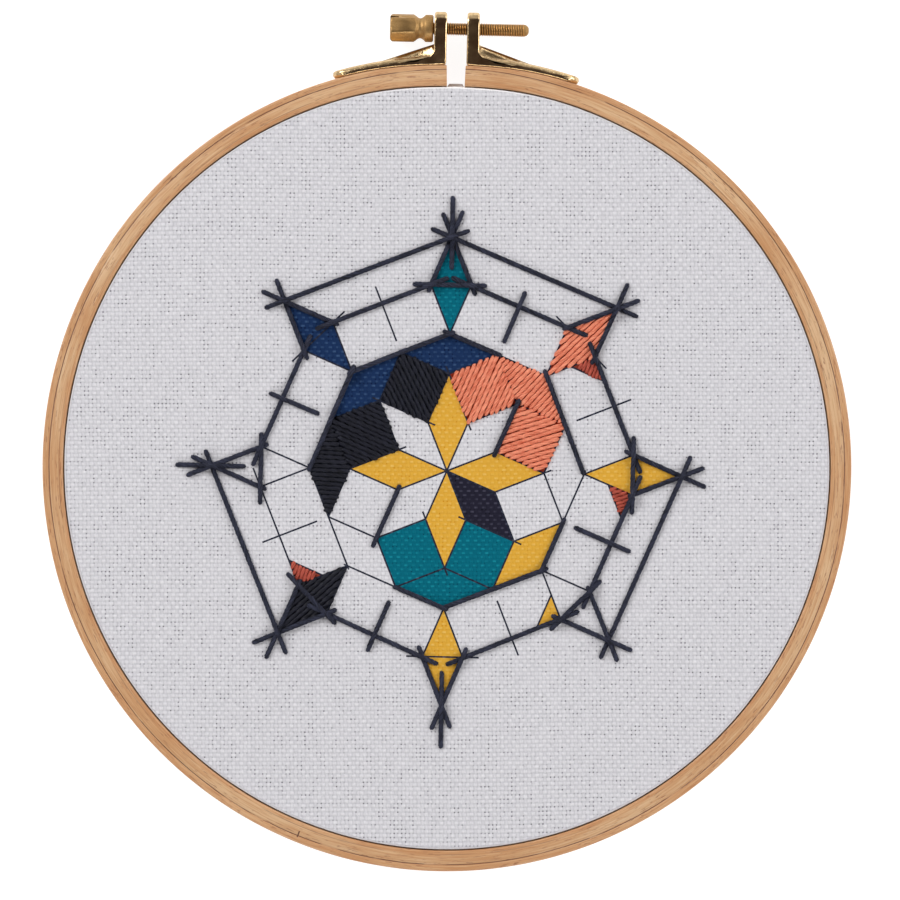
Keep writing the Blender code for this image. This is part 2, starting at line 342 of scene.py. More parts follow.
# %% [markdown]
# A Geometry Nodes tree is a small machine: a rough guide goes in, the finished shape comes
# out. The helpers below make an empty tree with named entries, and run a tree once on a guide.
# The result is kept as a plain mesh, since a live modifier would not survive the export.

# %% Running a Geometry Nodes tree
def new_tree(name, entries):
    """An empty tree: geometry in, geometry out, and the named entries."""
    tree = bpy.data.node_groups.new(name, "GeometryNodeTree")
    tree.interface.new_socket("Geometry", in_out='INPUT', socket_type='NodeSocketGeometry')
    for entry, kind in entries.items():
        tree.interface.new_socket(entry, in_out='INPUT', socket_type=kind)
    tree.interface.new_socket("Geometry", in_out='OUTPUT', socket_type='NodeSocketGeometry')
    wires = Wiring(tree)
    return tree, wires, wires.node("NodeGroupInput")


def finish_tree(wires, shape):
    """Every tree ends here: smooth faces, real geometry, one material."""
    group = wires.tree.nodes["Group Input"]
    smooth = wires.node("GeometryNodeSetShadeSmooth", None, {0: shape})
    real = wires.node("GeometryNodeRealizeInstances", None, {0: smooth})
    entries = {"Geometry": real, "Material": Socket(wires, group.outputs["Material"])}
    coated = wires.node("GeometryNodeSetMaterial", None, entries)
    wires.node("NodeGroupOutput", None, {0: coated})


def grow(name, guide, tree, values):
    """Run a tree on a guide mesh and keep the result as a plain object."""
    carrier = bpy.data.objects.new(name, guide)
    bpy.context.scene.collection.objects.link(carrier)
    modifier = carrier.modifiers.new(tree.name, 'NODES')
    modifier.node_group = tree
    for item in tree.interface.items_tree:
        if item.in_out == 'INPUT' and item.name in values:
            modifier[item.identifier] = values[item.name]
    ready = bpy.context.evaluated_depsgraph_get()
    mesh = bpy.data.meshes.new_from_object(carrier.evaluated_get(ready), depsgraph=ready)
    carrier.modifiers.remove(modifier)
    carrier.data = mesh
    mesh.name = name
    return carrier


def triangles(item):
    """How many triangles a piece has."""
    return sum(len(face.vertices) - 2 for face in item.data.polygons)


print("tree helpers ready")

# %% [markdown]
# Bent beech. An embroidery hoop is sliced from thin strips, steamed, bent and glued, so its
# grain runs round the ring, a dark glue line shows between the plies, and short reddish flecks
# lie along the grain. An image texture could show all that, but not from every side. Here the
# pattern is worked out from the angle round the hoop, the distance from its centre and the
# height, so top, walls and cut ends all agree. The angle jumps at the split, where no wood is.

# %% Beech
BEECH = (0.640, 0.388, 0.200, 1.0)
BEECH_DEEP = (0.510, 0.240, 0.095, 1.0)
BEECH_PALE = (0.720, 0.500, 0.295, 1.0)
OUTER_TINT = (0.900, 0.720, 0.580, 1.0)   # the outer and innermost plies are redder
FLECK = (0.290, 0.105, 0.045, 1.0)
GLUE = (0.130, 0.048, 0.026, 1.0)
PLY_LINE = 1.7 * MM          # glue line, in from the outer wall
PLY_FAINT = 4.1 * MM         # second, fainter line
PLY_WIDTH = 0.15 * MM
PLY_WANDER = 0.22 * MM
STREAKS = {
    # name: length along the grain, width across it, seed, detail
    "tone": (34 * MM, 9 * MM, 3.0, 2.0),
    "fibre": (9 * MM, 0.32 * MM, 11.0, 3.0),
    "pore": (2.1 * MM, 0.24 * MM, 29.0, 1.0),
    "patch": (14 * MM, 2.2 * MM, 47.0, 2.0),
    "glue wander": (26 * MM, 40 * MM, 61.0, 2.0),
    "glue breaks": (7 * MM, 40 * MM, 73.0, 2.0),
    "faint glue": (19 * MM, 40 * MM, 89.0, 2.0),
}
BEECH_SLOPES = {
    # name: from, to, and what the slope gives there, if not 0 and 1
    "tone": (0.34, 0.70),
    "dark fibre": (0.46, 0.66, 0.0, 0.60),
    "pale fibre": (0.48, 0.30, 0.0, 0.55),
    "pore": (0.60, 0.70),
    "patch": (0.38, 0.62, 0.30, 1.0),
    "glue breaks": (0.30, 0.46, 0.15, 1.0),
    "faint glue": (0.48, 0.60),
    "redder": (0.25, 0.60, 0.6, 1.3),
    "roughness": (0.30, 0.75, 0.46, 0.62),
}
TONE_SHARE = 0.55            # how much of the slow change of tone shows
FLECK_SHARE = 0.70
GLUE_SHARE = 0.88
FAINT_SHARE = 0.45           # the second glue line beside the first
GLUE_CORE = 0.4              # the part of a line's half width that is darkest
FAINT_CORE = 0.3
PLY_BLUR = 0.1 * MM          # how softly one ply's tint meets the next
FAINT_BLUR = 0.3 * MM
OUTER_REDDER = 0.38
INNER_REDDER = 0.42
BEECH_RELIEF = (0.35, 0.4, 0.8, 2.0)   # fibre's height; depths of fleck, glue line and dark tick
BEECH_BUMP = (0.10 * MM, 0.8)          # the relief's full height, and its strength
DARK_TICK = (-20.7, 97.9 * MM)    # a short dark line across the grain, also pressed in by the bump: degrees from -Y, radius
DARK_TICK_HALF = (0.20 * MM, 0.90 * MM)
DARK_TICK_CORE = (0.5, 0.8)       # the part of each that is darkest


def beech(name, wall, glue_strength):
    """Beech bent round the hoop; wall is the radius of its outer face."""
    wood = Finish(name, 0.55)
    parts = wood.node("ShaderNodeSeparateXYZ", None, {0: wood.place(tuple(-centre))}, take="X")
    x, y, z = parts, parts.also("Y"), parts.also("Z")
    angle = wood.maths('ARCTAN2', x, 0.0 - y)
    radius = wood.maths('SQRT', x * x + y * y)
    along = angle * wall

    def streaks(kind):
        """Noise drawn out along the grain."""
        length, width, seed, detail = STREAKS[kind]
        where = wood.point(along / length + seed, radius / width, z / width)
        return wood.noise(where, 1.0, detail)

    def slope_of(noise, kind):
        """One of the slopes above, on a noise."""
        return wood.smooth(noise, *BEECH_SLOPES[kind])

    tone, fibre, pore, patch = (streaks(kind) for kind in ("tone", "fibre", "pore", "patch"))
    colour = wood.blend(slope_of(tone, "tone"), BEECH_DEEP, BEECH_PALE)
    colour = wood.blend(TONE_SHARE, BEECH, colour)
    colour = wood.blend(slope_of(fibre, "dark fibre"), colour, BEECH_DEEP)
    colour = wood.blend(slope_of(fibre, "pale fibre"), colour, BEECH_PALE)
    flecks = slope_of(pore, "pore") * slope_of(patch, "patch")
    colour = wood.blend(flecks * FLECK_SHARE, colour, FLECK)

    wander = (streaks("glue wander") - 0.5) * PLY_WANDER * 2
    broken = slope_of(streaks("glue breaks"), "glue breaks")
    some = slope_of(streaks("faint glue"), "faint glue")
    first, second = wall - PLY_LINE, wall - PLY_FAINT
    line = 1 - wood.smooth(abs(radius + wander - first), PLY_WIDTH * GLUE_CORE, PLY_WIDTH)
    faint = 1 - wood.smooth(abs(radius - wander - second), PLY_WIDTH * FAINT_CORE, PLY_WIDTH)
    glue = wood.maths('MAXIMUM', line * broken, faint * some * FAINT_SHARE) * glue_strength
    outer_ply = wood.smooth(radius, first - PLY_BLUR, first + PLY_BLUR)
    inner_ply = wood.smooth(radius + wander, second + FAINT_BLUR, second - FAINT_BLUR)
    redder = (outer_ply * OUTER_REDDER + inner_ply * INNER_REDDER) * slope_of(tone, "redder")
    colour = wood.blend(redder, colour, wood.blend(1.0, colour, OUTER_TINT, 'MULTIPLY'))
    beside = abs(along - math.radians(DARK_TICK[0]) * wall)
    dark_tick = 1 - wood.smooth(beside, DARK_TICK_HALF[0] * DARK_TICK_CORE[0], DARK_TICK_HALF[0])
    off_tick = abs(radius - DARK_TICK[1])
    dark_tick = dark_tick * (1 - wood.smooth(off_tick, DARK_TICK_HALF[1] * DARK_TICK_CORE[1], DARK_TICK_HALF[1]))
    colour = wood.blend(wood.maths('MAXIMUM', glue * GLUE_SHARE, dark_tick), colour, GLUE)

    wood.set("Base Color", colour)
    wood.set("Roughness", slope_of(fibre, "roughness"))
    of_fibre, of_fleck, of_glue, of_tick = BEECH_RELIEF
    height = fibre * of_fibre - flecks * of_fleck - glue * of_glue - dark_tick * of_tick
    wood.raise_by(height, *BEECH_BUMP)
    return wood.material


outer_beech = beech("bent_beech", hoop_radius, 1.0)
inner_beech = beech("inner_beech", inner_radius, 0.7)
print("beech:", len(STREAKS), "noises along the grain")

# %% [markdown]
# The rings. Each one is a single strip with the same section all the way round, which is just
# what sweeping a section along an arc makes. A lathe would also do for the inner ring, but the
# outer one is split at the top. The tree bends an arc, sweeps the section along it and
# lets the surface waver by a few hundredths of a millimetre, as sanded wood does. In the
# picture the hoop is about half a millimetre flat beside its split, where the screw pulls the
# ends together, so every piece there is drawn in by the same small amount.

# %% Sweep a section round the hoop
RING_STEPS = 480
SANDING = 0.05 * MM          # how far the sanded surface wavers
WAVER = 90.0                 # waves to the metre
SPLIT_HALF = 2.35 * MM       # half of the gap between the outer ring's ends
OUTER_WALL = 5.1 * MM
INNER_WALL = 4.5 * MM
EDGE_SOFT = 0.45 * MM        # worn edges
EDGE_TIGHT = 0.30 * MM
RING_SHARP = 50              # degrees; only the cut ends turn by more
GROOVE = 0.07 * MM           # the glue line has shrunk a little below the face
INNERMOST = 85 * MM          # everything outside this radius is drawn in whole
FLATS = [(0.25 * MM, 30.0), (0.45 * MM, 9.0)]   # how deep the hoop is flat, over how many degrees


def ring_tree():
    """Section in, ring out."""
    entries = {"Radius": 'NodeSocketFloat', "Start": 'NodeSocketFloat', "Sweep": 'NodeSocketFloat',
               "Steps": 'NodeSocketInt', "Closed": 'NodeSocketBool', "Sanding": 'NodeSocketFloat',
               "Material": 'NodeSocketMaterial'}
    tree, wires, group = new_tree("bent strip", entries)
    section = wires.node("GeometryNodeMeshToCurve", None, {0: group})
    arc_entries = {"Resolution": group.also("Steps"), "Radius": group.also("Radius"),
                   "Start Angle": group.also("Start"), "Sweep Angle": group.also("Sweep")}
    arc = wires.node("GeometryNodeCurveArc", {"mode": 'RADIUS'}, arc_entries)
    path = wires.node("GeometryNodeSetSplineCyclic", None, {0: arc, "Cyclic": group.also("Closed")})
    strip = wires.node("GeometryNodeCurveToMesh", None, {0: path, 1: section, "Fill Caps": True})
    where = wires.node("GeometryNodeInputPosition")
    level = wires.point(group.also("Sanding"), group.also("Sanding"), 0.0)
    shift = wires.vector('MULTIPLY', wires.jitter(where, WAVER), level)
    moved = wires.node("GeometryNodeSetPosition", None, {"Geometry": strip, "Offset": shift})
    finish_tree(wires, moved)
    return tree


def strip_section(wall, height, soft, groove_at=None, steps=4):
    """A strip's section as a loop of edges: X from its outer face, Y down from the surface.

    The loop runs down the inner face and up the outer one, so the swept walls face outwards.
    """
    corners = [(-wall, height, 1, -1, 90), (-wall, 0.0, 1, 1, 180),
               (0.0, 0.0, -1, 1, 270), (0.0, height, -1, -1, 0)]
    points = []
    for x, z, toward_x, toward_z, start in corners:
        for step in range(steps + 1):
            turn = math.radians(start + 90 * step / steps)
            across, down = x + toward_x * soft, z + toward_z * soft
            points.append((across + soft * math.cos(turn), down + soft * math.sin(turn)))
    if groove_at is not None:
        for beside, depth in ((PLY_WIDTH, 0.0), (0.0, GROOVE), (-PLY_WIDTH, 0.0)):
            points.append((beside - groove_at, height - depth))
    count = len(points)
    edges = [(index, (index + 1) % count) for index in range(count)]
    mesh = bpy.data.meshes.new("section")
    mesh.from_pydata([(x, -z, 0.0) for x, z in points], edges, [])
    return mesh


def sharp_from(item, degrees):
    """Round stretches smooth, real edges sharp."""
    item.data.shade_smooth()
    item.data.set_sharp_from_angle(angle=math.radians(degrees))


def eased(item, kept, moved):
    """Draw a piece in where the hoop is a little flat beside its split.

    Points at the first radius stay, points at the second one move the whole way.
    """
    for vert in item.data.vertices:
        flat = (vert.co - centre).xy
        beside = math.degrees(math.atan2(flat.x, flat.y))
        pull = sum(depth * math.exp(-(beside / reach) ** 2) for depth, reach in FLATS)
        share = (flat.length - kept) / (moved - kept)
        share = min(max(share, 0.0), 1.0)
        if flat.length > 0:
            vert.co.xy -= flat.normalized() * pull * share


bend_strip = ring_tree()
half_split = math.asin(SPLIT_HALF / hoop_radius)
outer_strip = strip_section(OUTER_WALL, ring_top, EDGE_SOFT, PLY_LINE)
inner_strip = strip_section(INNER_WALL, inner_top, EDGE_TIGHT)
outer_ring = grow("beech_outer_ring", outer_strip, bend_strip, {
    "Radius": hoop_radius, "Start": math.pi / 2 + half_split, "Sweep": 2 * math.pi - 2 * half_split,
    "Steps": RING_STEPS, "Closed": False, "Sanding": SANDING, "Material": outer_beech})
inner_ring = grow("beech_inner_ring", inner_strip, bend_strip, {
    "Radius": inner_radius, "Start": math.pi / 2, "Sweep": 2 * math.pi * (RING_STEPS - 1) / RING_STEPS,
    "Steps": RING_STEPS, "Closed": True, "Sanding": SANDING, "Material": inner_beech})
for ring, node, slot in ((outer_ring, "outer_ring", "beech"), (inner_ring, "inner_ring", "beech_inner")):
    ring.data.transform(Matrix.Translation(centre))
    eased(ring, 0.0, INNERMOST)
    sharp_from(ring, RING_SHARP)
    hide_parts(node)
    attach(ring, "hoop")
    print(ring.name, triangles(ring), "triangles")

# %% [markdown]
# The design. A plain eight-pointed star, the kind that tile makers and quilters everywhere lay
# out with a compass: eight diamonds round a point, squares between their tips, wider diamonds
# in the gaps, then squares and points outside. All sides are equal, so one length sets it all.
# A flat point is written as a complex number, x + y j, because turning and shifting it is then
# plain arithmetic. Letters in short rows say how each shape is filled and each line is drawn.

# %% Star layout
SIDE = 13.0 * MM
SECTORS = 8
STEP = 360.0 / SECTORS
DESIGN_CENTRE = complex(0.0, -1.0 * MM)
SMALL = 0.5                  # small triangles, as a share of the side

# One letter for each eighth, clockwise from the top. M, T, B and A are printed mustard, teal,
# blue and aubergine; C, N and R are satin stitch in coral, navy and red; a dot is bare.
FILLS = {
    "star": "M.MAM.M.",
    "square": "CC.TT.NN",
    "kite": "BC.MT.NB",
    "point": "TCM.MN.B",
    "triangle": ".RRM.R..",
}
# S is stitched in thick thread over its printed line; p is printed only.
LINES = {
    "left": "SSSSSSSS",
    "right": "SSSSSSSS",
    "outer": "SSSSSpSS",
    "octagon": "pSpSppSp",
    "roof": "S.S..S.S",
    "ray": "S...S.S.",
    "cross": "SpSSpSSp",
    "hem": "S..SS..S",
    "seam": "S..S...S",
    "spoke": "pSpppSpp",
    "brace": "SpSpSpSp",
}
# How far a line runs past its first and its last point, in millimetres; a minus falls short.
OVERRUNS = {
    "left": (2.0, 6.5), "right": (2.0, 6.5), "outer": (5.0, 5.0), "octagon": (1.0, 1.0),
    "roof": (5.0, 5.0), "ray": (-16.0, 10.0), "cross": (4.0, 4.0), "hem": (1.5, 1.5),
    "seam": (1.5, 1.5), "spoke": (2.0, 2.0), "brace": (-3.0, 4.5),
}


def spoke(radius, degrees):
    """A point at a radius and a direction."""
    return cmath.rect(radius, math.radians(degrees))


def stretched(start, end, before, after):
    """A line made longer at both ends."""
    along = (end - start) / abs(end - start)
    return start - along * before, end + along * after


def star_layout():
    """Shapes as (kind, letter, corners), and lines as (letter, start, end)."""
    near, tip, elbow, rim, out = [], [], [], [], []
    half_step = math.radians(STEP / 2)
    for sector in range(SECTORS):
        here = 90 - STEP * sector
        between = here - STEP / 2
        near.append(spoke(SIDE, between))
        tip.append(spoke(2 * SIDE * math.cos(half_step), here))
        elbow.append(spoke(SIDE * (1 + math.sqrt(2)), between))
        rim.append(spoke(SIDE / math.sin(half_step), here))
        out.append(spoke(SIDE, between))
    shapes, lines = [], []
    for now in range(SECTORS):
        last, after = now - 1, (now + 1) % SECTORS
        peak = rim[now] + out[last] + out[now]
        next_peak = rim[after] + out[now] + out[after]
        first, second = rim[now] + out[now], rim[after] + out[now]
        along = (second - first) * SMALL / 2
        corners = {
            "star": [0j, near[last], tip[now], near[now]],
            "square": [near[now], tip[now], elbow[now], tip[after]],
            "kite": [tip[now], elbow[now], rim[now], elbow[last]],
            "point": [rim[now], rim[now] + out[last], peak, first],
            "triangle": [first, first + along, first - out[now] * SMALL],
        }
        ends = {
            "left": (rim[now] + out[last], peak),
            "right": (first, peak),
            "outer": (first, second),
            "octagon": (rim[now], rim[after]),
            "roof": (peak, next_peak),
            "ray": (rim[now], peak),
            "cross": (rim[now] + out[last], first),
            "hem": (elbow[now], rim[now]),
            "seam": (rim[now], elbow[last]),
            "spoke": (near[now], tip[now]),
            "brace": (elbow[now], (first + second) / 2),
        }
        shapes += [(kind, FILLS[kind][now], [DESIGN_CENTRE + c for c in corners[kind]]) for kind in corners]
        for kind, (start, end) in ends.items():
            if LINES[kind][now] != ".":
                start, end = stretched(start, end, *(past * MM for past in OVERRUNS[kind]))
                lines.append((LINES[kind][now], DESIGN_CENTRE + start, DESIGN_CENTRE + end))
        lines.append(("p", DESIGN_CENTRE + rim[now], DESIGN_CENTRE + first))
        lines.append(("p", DESIGN_CENTRE + rim[after], DESIGN_CENTRE + second))
    return shapes, lines


shapes, lines = star_layout()
print(len(shapes), "shapes,", len(lines), "lines,", sum(1 for line in lines if line[0] == "S"), "stitched")

# %% [markdown]
# The cotton. This is an even plain weave, about 26 threads to the inch each way, printed with
# the design before it was stitched. Real threads at that scale would need millions of faces,
# so the weave is worked out in the material: each crossing shows either a weft float, wide and
# high, or a warp float, narrower and lower, in a chequer. The colour is painted lighter on the
# high floats and darker low down, as painted light and shade, with some real unevenness of the
# threads; the bump gives the relief. Where a thin stretch of warp meets a thin stretch of weft,
# the corner opens into a small hole, painted dark as painted shade. The grain wanders a little,
# as cloth does when it is pulled by hand. At its rim the cloth is painted in shade, where it
# turns down between the rings. The print is an attribute on the mesh, so its edges stay crisp.
# Ink takes unevenly: it is painted lighter on the crest of the fullest floats, a painted
# highlight together with rubbed print, and it deepens at random and, as painted shade, in the holes.

# %% Plain weave
COTTON_ROUGHNESS = 0.92
COTTON_SHINE = 0.08
WARP_PITCH = 0.952 * MM
WEFT_PITCH = 1.038 * MM
GRAIN_TURN = math.radians(-1.3)
GRAIN_WANDER = 2.4 * MM
GRAIN_SCALE = 11.0           # wanderings to the metre
FUZZ_SCALE = 1900.0          # loose fibres to the metre
# painted light and shade: the lit colour of the weave's crests and the shaded colour of its troughs
COTTON_LIT_CREST = (0.850, 0.840, 0.865, 1.0)
COTTON_SHADED_TROUGH = (0.490, 0.484, 0.515, 1.0)
# painted shade in the weave's small holes
COTTON_HOLE_SHADE = (0.130, 0.126, 0.150, 1.0)
INK_LIT_AND_RUBBED = 0.68             # a gamma below 1 lifts the ink on a weft float's crest: painted highlight and rubbed print
INK_SOAKED = 1.60            # a gamma above 1 deepens it: at random where it soaks in, and as painted shade in the holes
WEAVE_HEIGHT = 0.16 * MM
WEFT_FLOAT = (0.88, 0.24)    # a weft float's end and its full height, in pitches from its middle
WEFT_CREST = (0.66, 0.22)    # the part of it that is painted lighter
WARP_HEIGHT = 0.66           # a warp float's height, as a share of a weft float's
WARP_ROUND = 0.75            # how much a warp float drops at its sides
THIN_WARP = (7.31, 0.30, 4.0)    # thread to thread, along it, and a seed
THIN_WEFT = (5.17, 0.26, 9.0)
FULLNESS = (3.71, 0.80, 2.0)
SLACK = (0.97, 1.28, 0.06, 1.0)  # two threads' thinness added up, and how far their corner opens
HOLE_ACROSS = (0.09, 0.25)   # a hole's core and its edge, in pitches
HOLE_DOWN = (0.08, 0.24)
HOLE_DARK = 0.96
HOLE_DEPTH = 0.6             # beside the height of a float
FUZZ_HEIGHT = 0.25
WEAVE_BUMP = 0.62
CREST_SIDES = (0.70, 0.15)   # from a float's side to its middle
CREST_FULL = (0.34, 0.66, 0.10, 1.0)   # only full floats are painted lighter
SOAKED_SHARE = 0.45          # how far the fuzz between fibres deepens the ink
LIGHT_FROM = (0.42, 0.62, 0.42, -0.26)     # shares of height, fuzz and fullness, and what is left
RIM_SHADE = (0.75 * MM, 0.40 * MM, 0.62)   # where it starts and is full, in from the rim; strength


def cotton(name, printed):
    """Plain-woven cotton, with or without the print."""
    weave = Finish(name, COTTON_ROUGHNESS)
    weave.set("Specular IOR Level", COTTON_SHINE)

    def along_thread(thread, run, looks):
        """Noise that differs from thread to thread and changes slowly along each."""
        apart, change, seed = looks
        return weave.noise(weave.point(thread * apart, run * change, seed), 1.0, 1.0)

    where = weave.place(tuple(-centre), GRAIN_TURN)
    where = weave.vector('ADD', where, weave.scaled(weave.jitter(where, GRAIN_SCALE), GRAIN_WANDER))
    x = weave.node("ShaderNodeSeparateXYZ", None, {0: where}, take="X")
    u = x / WARP_PITCH
    v = x.also("Y") / WEFT_PITCH
    column = weave.maths('FLOOR', u)
    row = weave.maths('FLOOR', v)
    weft_over = (column + row) % 2
    across = abs(u - column - 0.5) * 2
    down = abs(v - row - 0.5) * 2

    # How full each thread is here, from noise that changes slowly along it
    warp_gap = weave.maths('ROUND', u)
    weft_gap = weave.maths('ROUND', v)
    thin_warp = along_thread(warp_gap, v, THIN_WARP)
    thin_weft = along_thread(weft_gap, u, THIN_WEFT)
    to_warp_gap = abs(u - warp_gap)
    to_weft_gap = abs(v - weft_gap)
    slack = weave.smooth(thin_warp + thin_weft, *SLACK)
    hole = (1 - weave.smooth(to_warp_gap, *HOLE_ACROSS)) * (1 - weave.smooth(to_weft_gap, *HOLE_DOWN))
    hole = hole * slack

    # A weft float is wider than the warp it covers, so it is measured along its own thread
    from_float = abs((u + row) % 2 - 1.5)
    weft_float = weave.smooth(from_float, *WEFT_FLOAT) * (1 - down * down)
    warp_float = (1 - down * down * WARP_ROUND) * (1 - across * across)
    warp_float = warp_float * WARP_HEIGHT * (1 - weft_over)
    height = weave.maths('MAXIMUM', weft_float, warp_float)
    fuzz = weave.noise(where, FUZZ_SCALE, 2.0)
    fullness = along_thread(row, u, FULLNESS)
    of_height, of_fuzz, of_fullness, rest = LIGHT_FROM
    # painted light and shade from the weave's height, with real unevenness from fuzz and fullness
    light = height * of_height + fuzz * of_fuzz + fullness * of_fullness + rest
    colour = weave.blend(light, COTTON_SHADED_TROUGH, COTTON_LIT_CREST)
    depth = COTTON_HOLE_SHADE
    if printed:
        ink = weave.node("ShaderNodeAttribute", {"attribute_name": "ink"}, take="Color")
        inked = ink.also("Alpha")
        lit_and_rubbed_ink = weave.node("ShaderNodeGamma", None, {"Color": ink, "Gamma": INK_LIT_AND_RUBBED})
        soaked_and_shaded_ink = weave.node("ShaderNodeGamma", None, {"Color": ink, "Gamma": INK_SOAKED})
        # painted highlight, with rubbed print: the crests of full weft floats are lighter
        crest = weave.smooth(from_float, *WEFT_CREST) * weave.smooth(down, *CREST_SIDES)
        crest = crest * weave.smooth(fullness, *CREST_FULL)
        print_colour = weave.blend(SOAKED_SHARE * fuzz, weave.blend(crest, ink, lit_and_rubbed_ink), soaked_and_shaded_ink)
        colour = weave.blend(inked, colour, print_colour)
        # painted shade: the print's holes take the deepened ink
        depth = weave.blend(inked, COTTON_HOLE_SHADE, soaked_and_shaded_ink)
    # painted shade: the holes are painted dark
    colour = weave.blend(hole * HOLE_DARK, colour, depth)
    spot = weave.node("ShaderNodeSeparateXYZ", None, {0: weave.place(tuple(-centre))}, take="X")
    from_centre = weave.maths('SQRT', spot * spot + spot.also("Y") * spot.also("Y"))
    starts, full, strength = RIM_SHADE
    edge = weave.smooth(from_centre, cloth_radius - starts, cloth_radius - full, 0.0, strength)
    # painted shade at the cloth's rim, beside the outer ring
    colour = weave.blend(edge, colour, COTTON_SHADED_TROUGH)
    weave.set("Base Color", colour)
    weave.raise_by(height - hole * HOLE_DEPTH + fuzz * FUZZ_HEIGHT, WEAVE_HEIGHT, WEAVE_BUMP)
    return weave.material


printed_cotton = cotton("printed_cotton", True)
plain_cotton = cotton("plain_cotton", False)
inch = 25.4 * MM
print(f"weave: {inch / WARP_PITCH:.1f} by {inch / WEFT_PITCH:.1f} threads to the inch")

# %% [markdown]
# The taut cloth. Pulled over the inner ring, it is flat across the face, rounds over the ring's
# shoulder and hangs between the two rings to its trimmed edge. A flat disc cut up by every
# printed edge carries the print: Blender's Delaunay routine does that cutting and says which
# shapes each small face lies in. Solidify then gives the cloth its thickness, with the plain
# weave on the back. Where the split leaves the turned-down edge free, it springs out a little.

# %% Cloth with its print
INKS = {
    "M": (0.745, 0.425, 0.056), "T": (0.001, 0.152, 0.215), "B": (0.012, 0.036, 0.112),
    "A": (0.020, 0.019, 0.036), "C": (0.290, 0.032, 0.010), "N": (0.010, 0.011, 0.017),
    "R": (0.300, 0.055, 0.030),
}
LINE_INK = (0.024, 0.028, 0.048)
LINE_WIDTH = 0.43 * MM
PRINT_SHORT = -1.3 * MM      # a stitched line covers its print, ends and all
FACE_GRID = 4.0 * MM         # spacing of the points inside the face
RIM_STEPS = 720
RIM_SLACK = 0.001 * MM       # points this near the face's edge are on it
CUT_INSIDE = 1               # the cutting routine keeps the triangles inside the outlines
CUT_JOIN = 1e-4              # and joins points closer than this, in millimetres
RIM_CREASE = 0.35 * MM       # the flat face ends in a ring of small triangles
SHOULDER = 0.35 * MM
SHOULDER_STEPS = 5
SKIRT_STEPS = 6
CLOTH_EASE = 10 * MM         # the face is drawn in over this much, inside the ring
FLARE = 1.5 * MM             # how far its trimmed edge springs out between the outer ring's ends
FLARE_REACH = 1.3            # degrees to each side
FLARE_POWER = 12             # high, so that the sprung stretch is level with quick ends
CLOTH_THICK = 1.0 * MM


def printed_line(start, end, reach):
    """A thin printed line as a four-cornered area and its ink."""
    start, end = stretched(start, end, reach, reach)
    side = (end - start) / abs(end - start) * 1j * LINE_WIDTH / 2
    return [start - side, end - side, end + side, start + side], LINE_INK


def anticlockwise(corners):
    """The same corners in the order that the cutting routine calls inside."""
    swept = sum((corners[index - 1].conjugate() * corner).imag for index, corner in enumerate(corners))
    return corners if swept > 0 else list(reversed(corners))


def printed_areas():
    """Every printed area as (corners, ink), in the order it is printed."""
    areas = []
    for kind, letter, corners in shapes:
        if letter in INKS:
            areas.append((corners, INKS[letter]))
    for kind, letter, corners in shapes:
        if kind != "triangle" or letter != ".":
            for index, corner in enumerate(corners):
                after = corners[(index + 1) % len(corners)]
                areas.append(printed_line(corner, after, LINE_WIDTH / 3))
    for letter, start, end in lines:
        areas.append(printed_line(start, end, PRINT_SHORT if letter == "S" else 0.0))
    return areas


def printed_disc(radius, areas):
    """A flat disc cut along every printed edge: points, faces and the ink of each face."""
    rim = [spoke(1.0, 360.0 * step / RIM_STEPS) for step in range(RIM_STEPS)]
    points = [Vector((spot.real, spot.imag)) * (radius / MM) for spot in rim]
    points += [Vector((spot.real, spot.imag)) * ((radius - RIM_CREASE) / MM) for spot in rim]
    loops = [list(range(RIM_STEPS))]
    areas = [(anticlockwise(corners), ink) for corners, ink in areas]
    reach = int(radius / FACE_GRID)
    for row in range(-reach, reach + 1):
        for column in range(-reach, reach + 1):
            spot = Vector((column, row)) * FACE_GRID
            if spot.length < radius - FACE_GRID / 2:
                points.append(spot / MM)
    for corners, _ in areas:
        loops.append(list(range(len(points), len(points) + len(corners))))
        points += [Vector((corner.real, corner.imag)) / MM for corner in corners]
    made = delaunay_2d_cdt(points, [], loops, CUT_INSIDE, CUT_JOIN, True)
    flat, faces, inside = made[0], made[2], made[5]
    inks = [areas[max(owners) - 1][1] if max(owners) > 0 else None for owners in inside]
    return [point * MM for point in flat], faces, inks


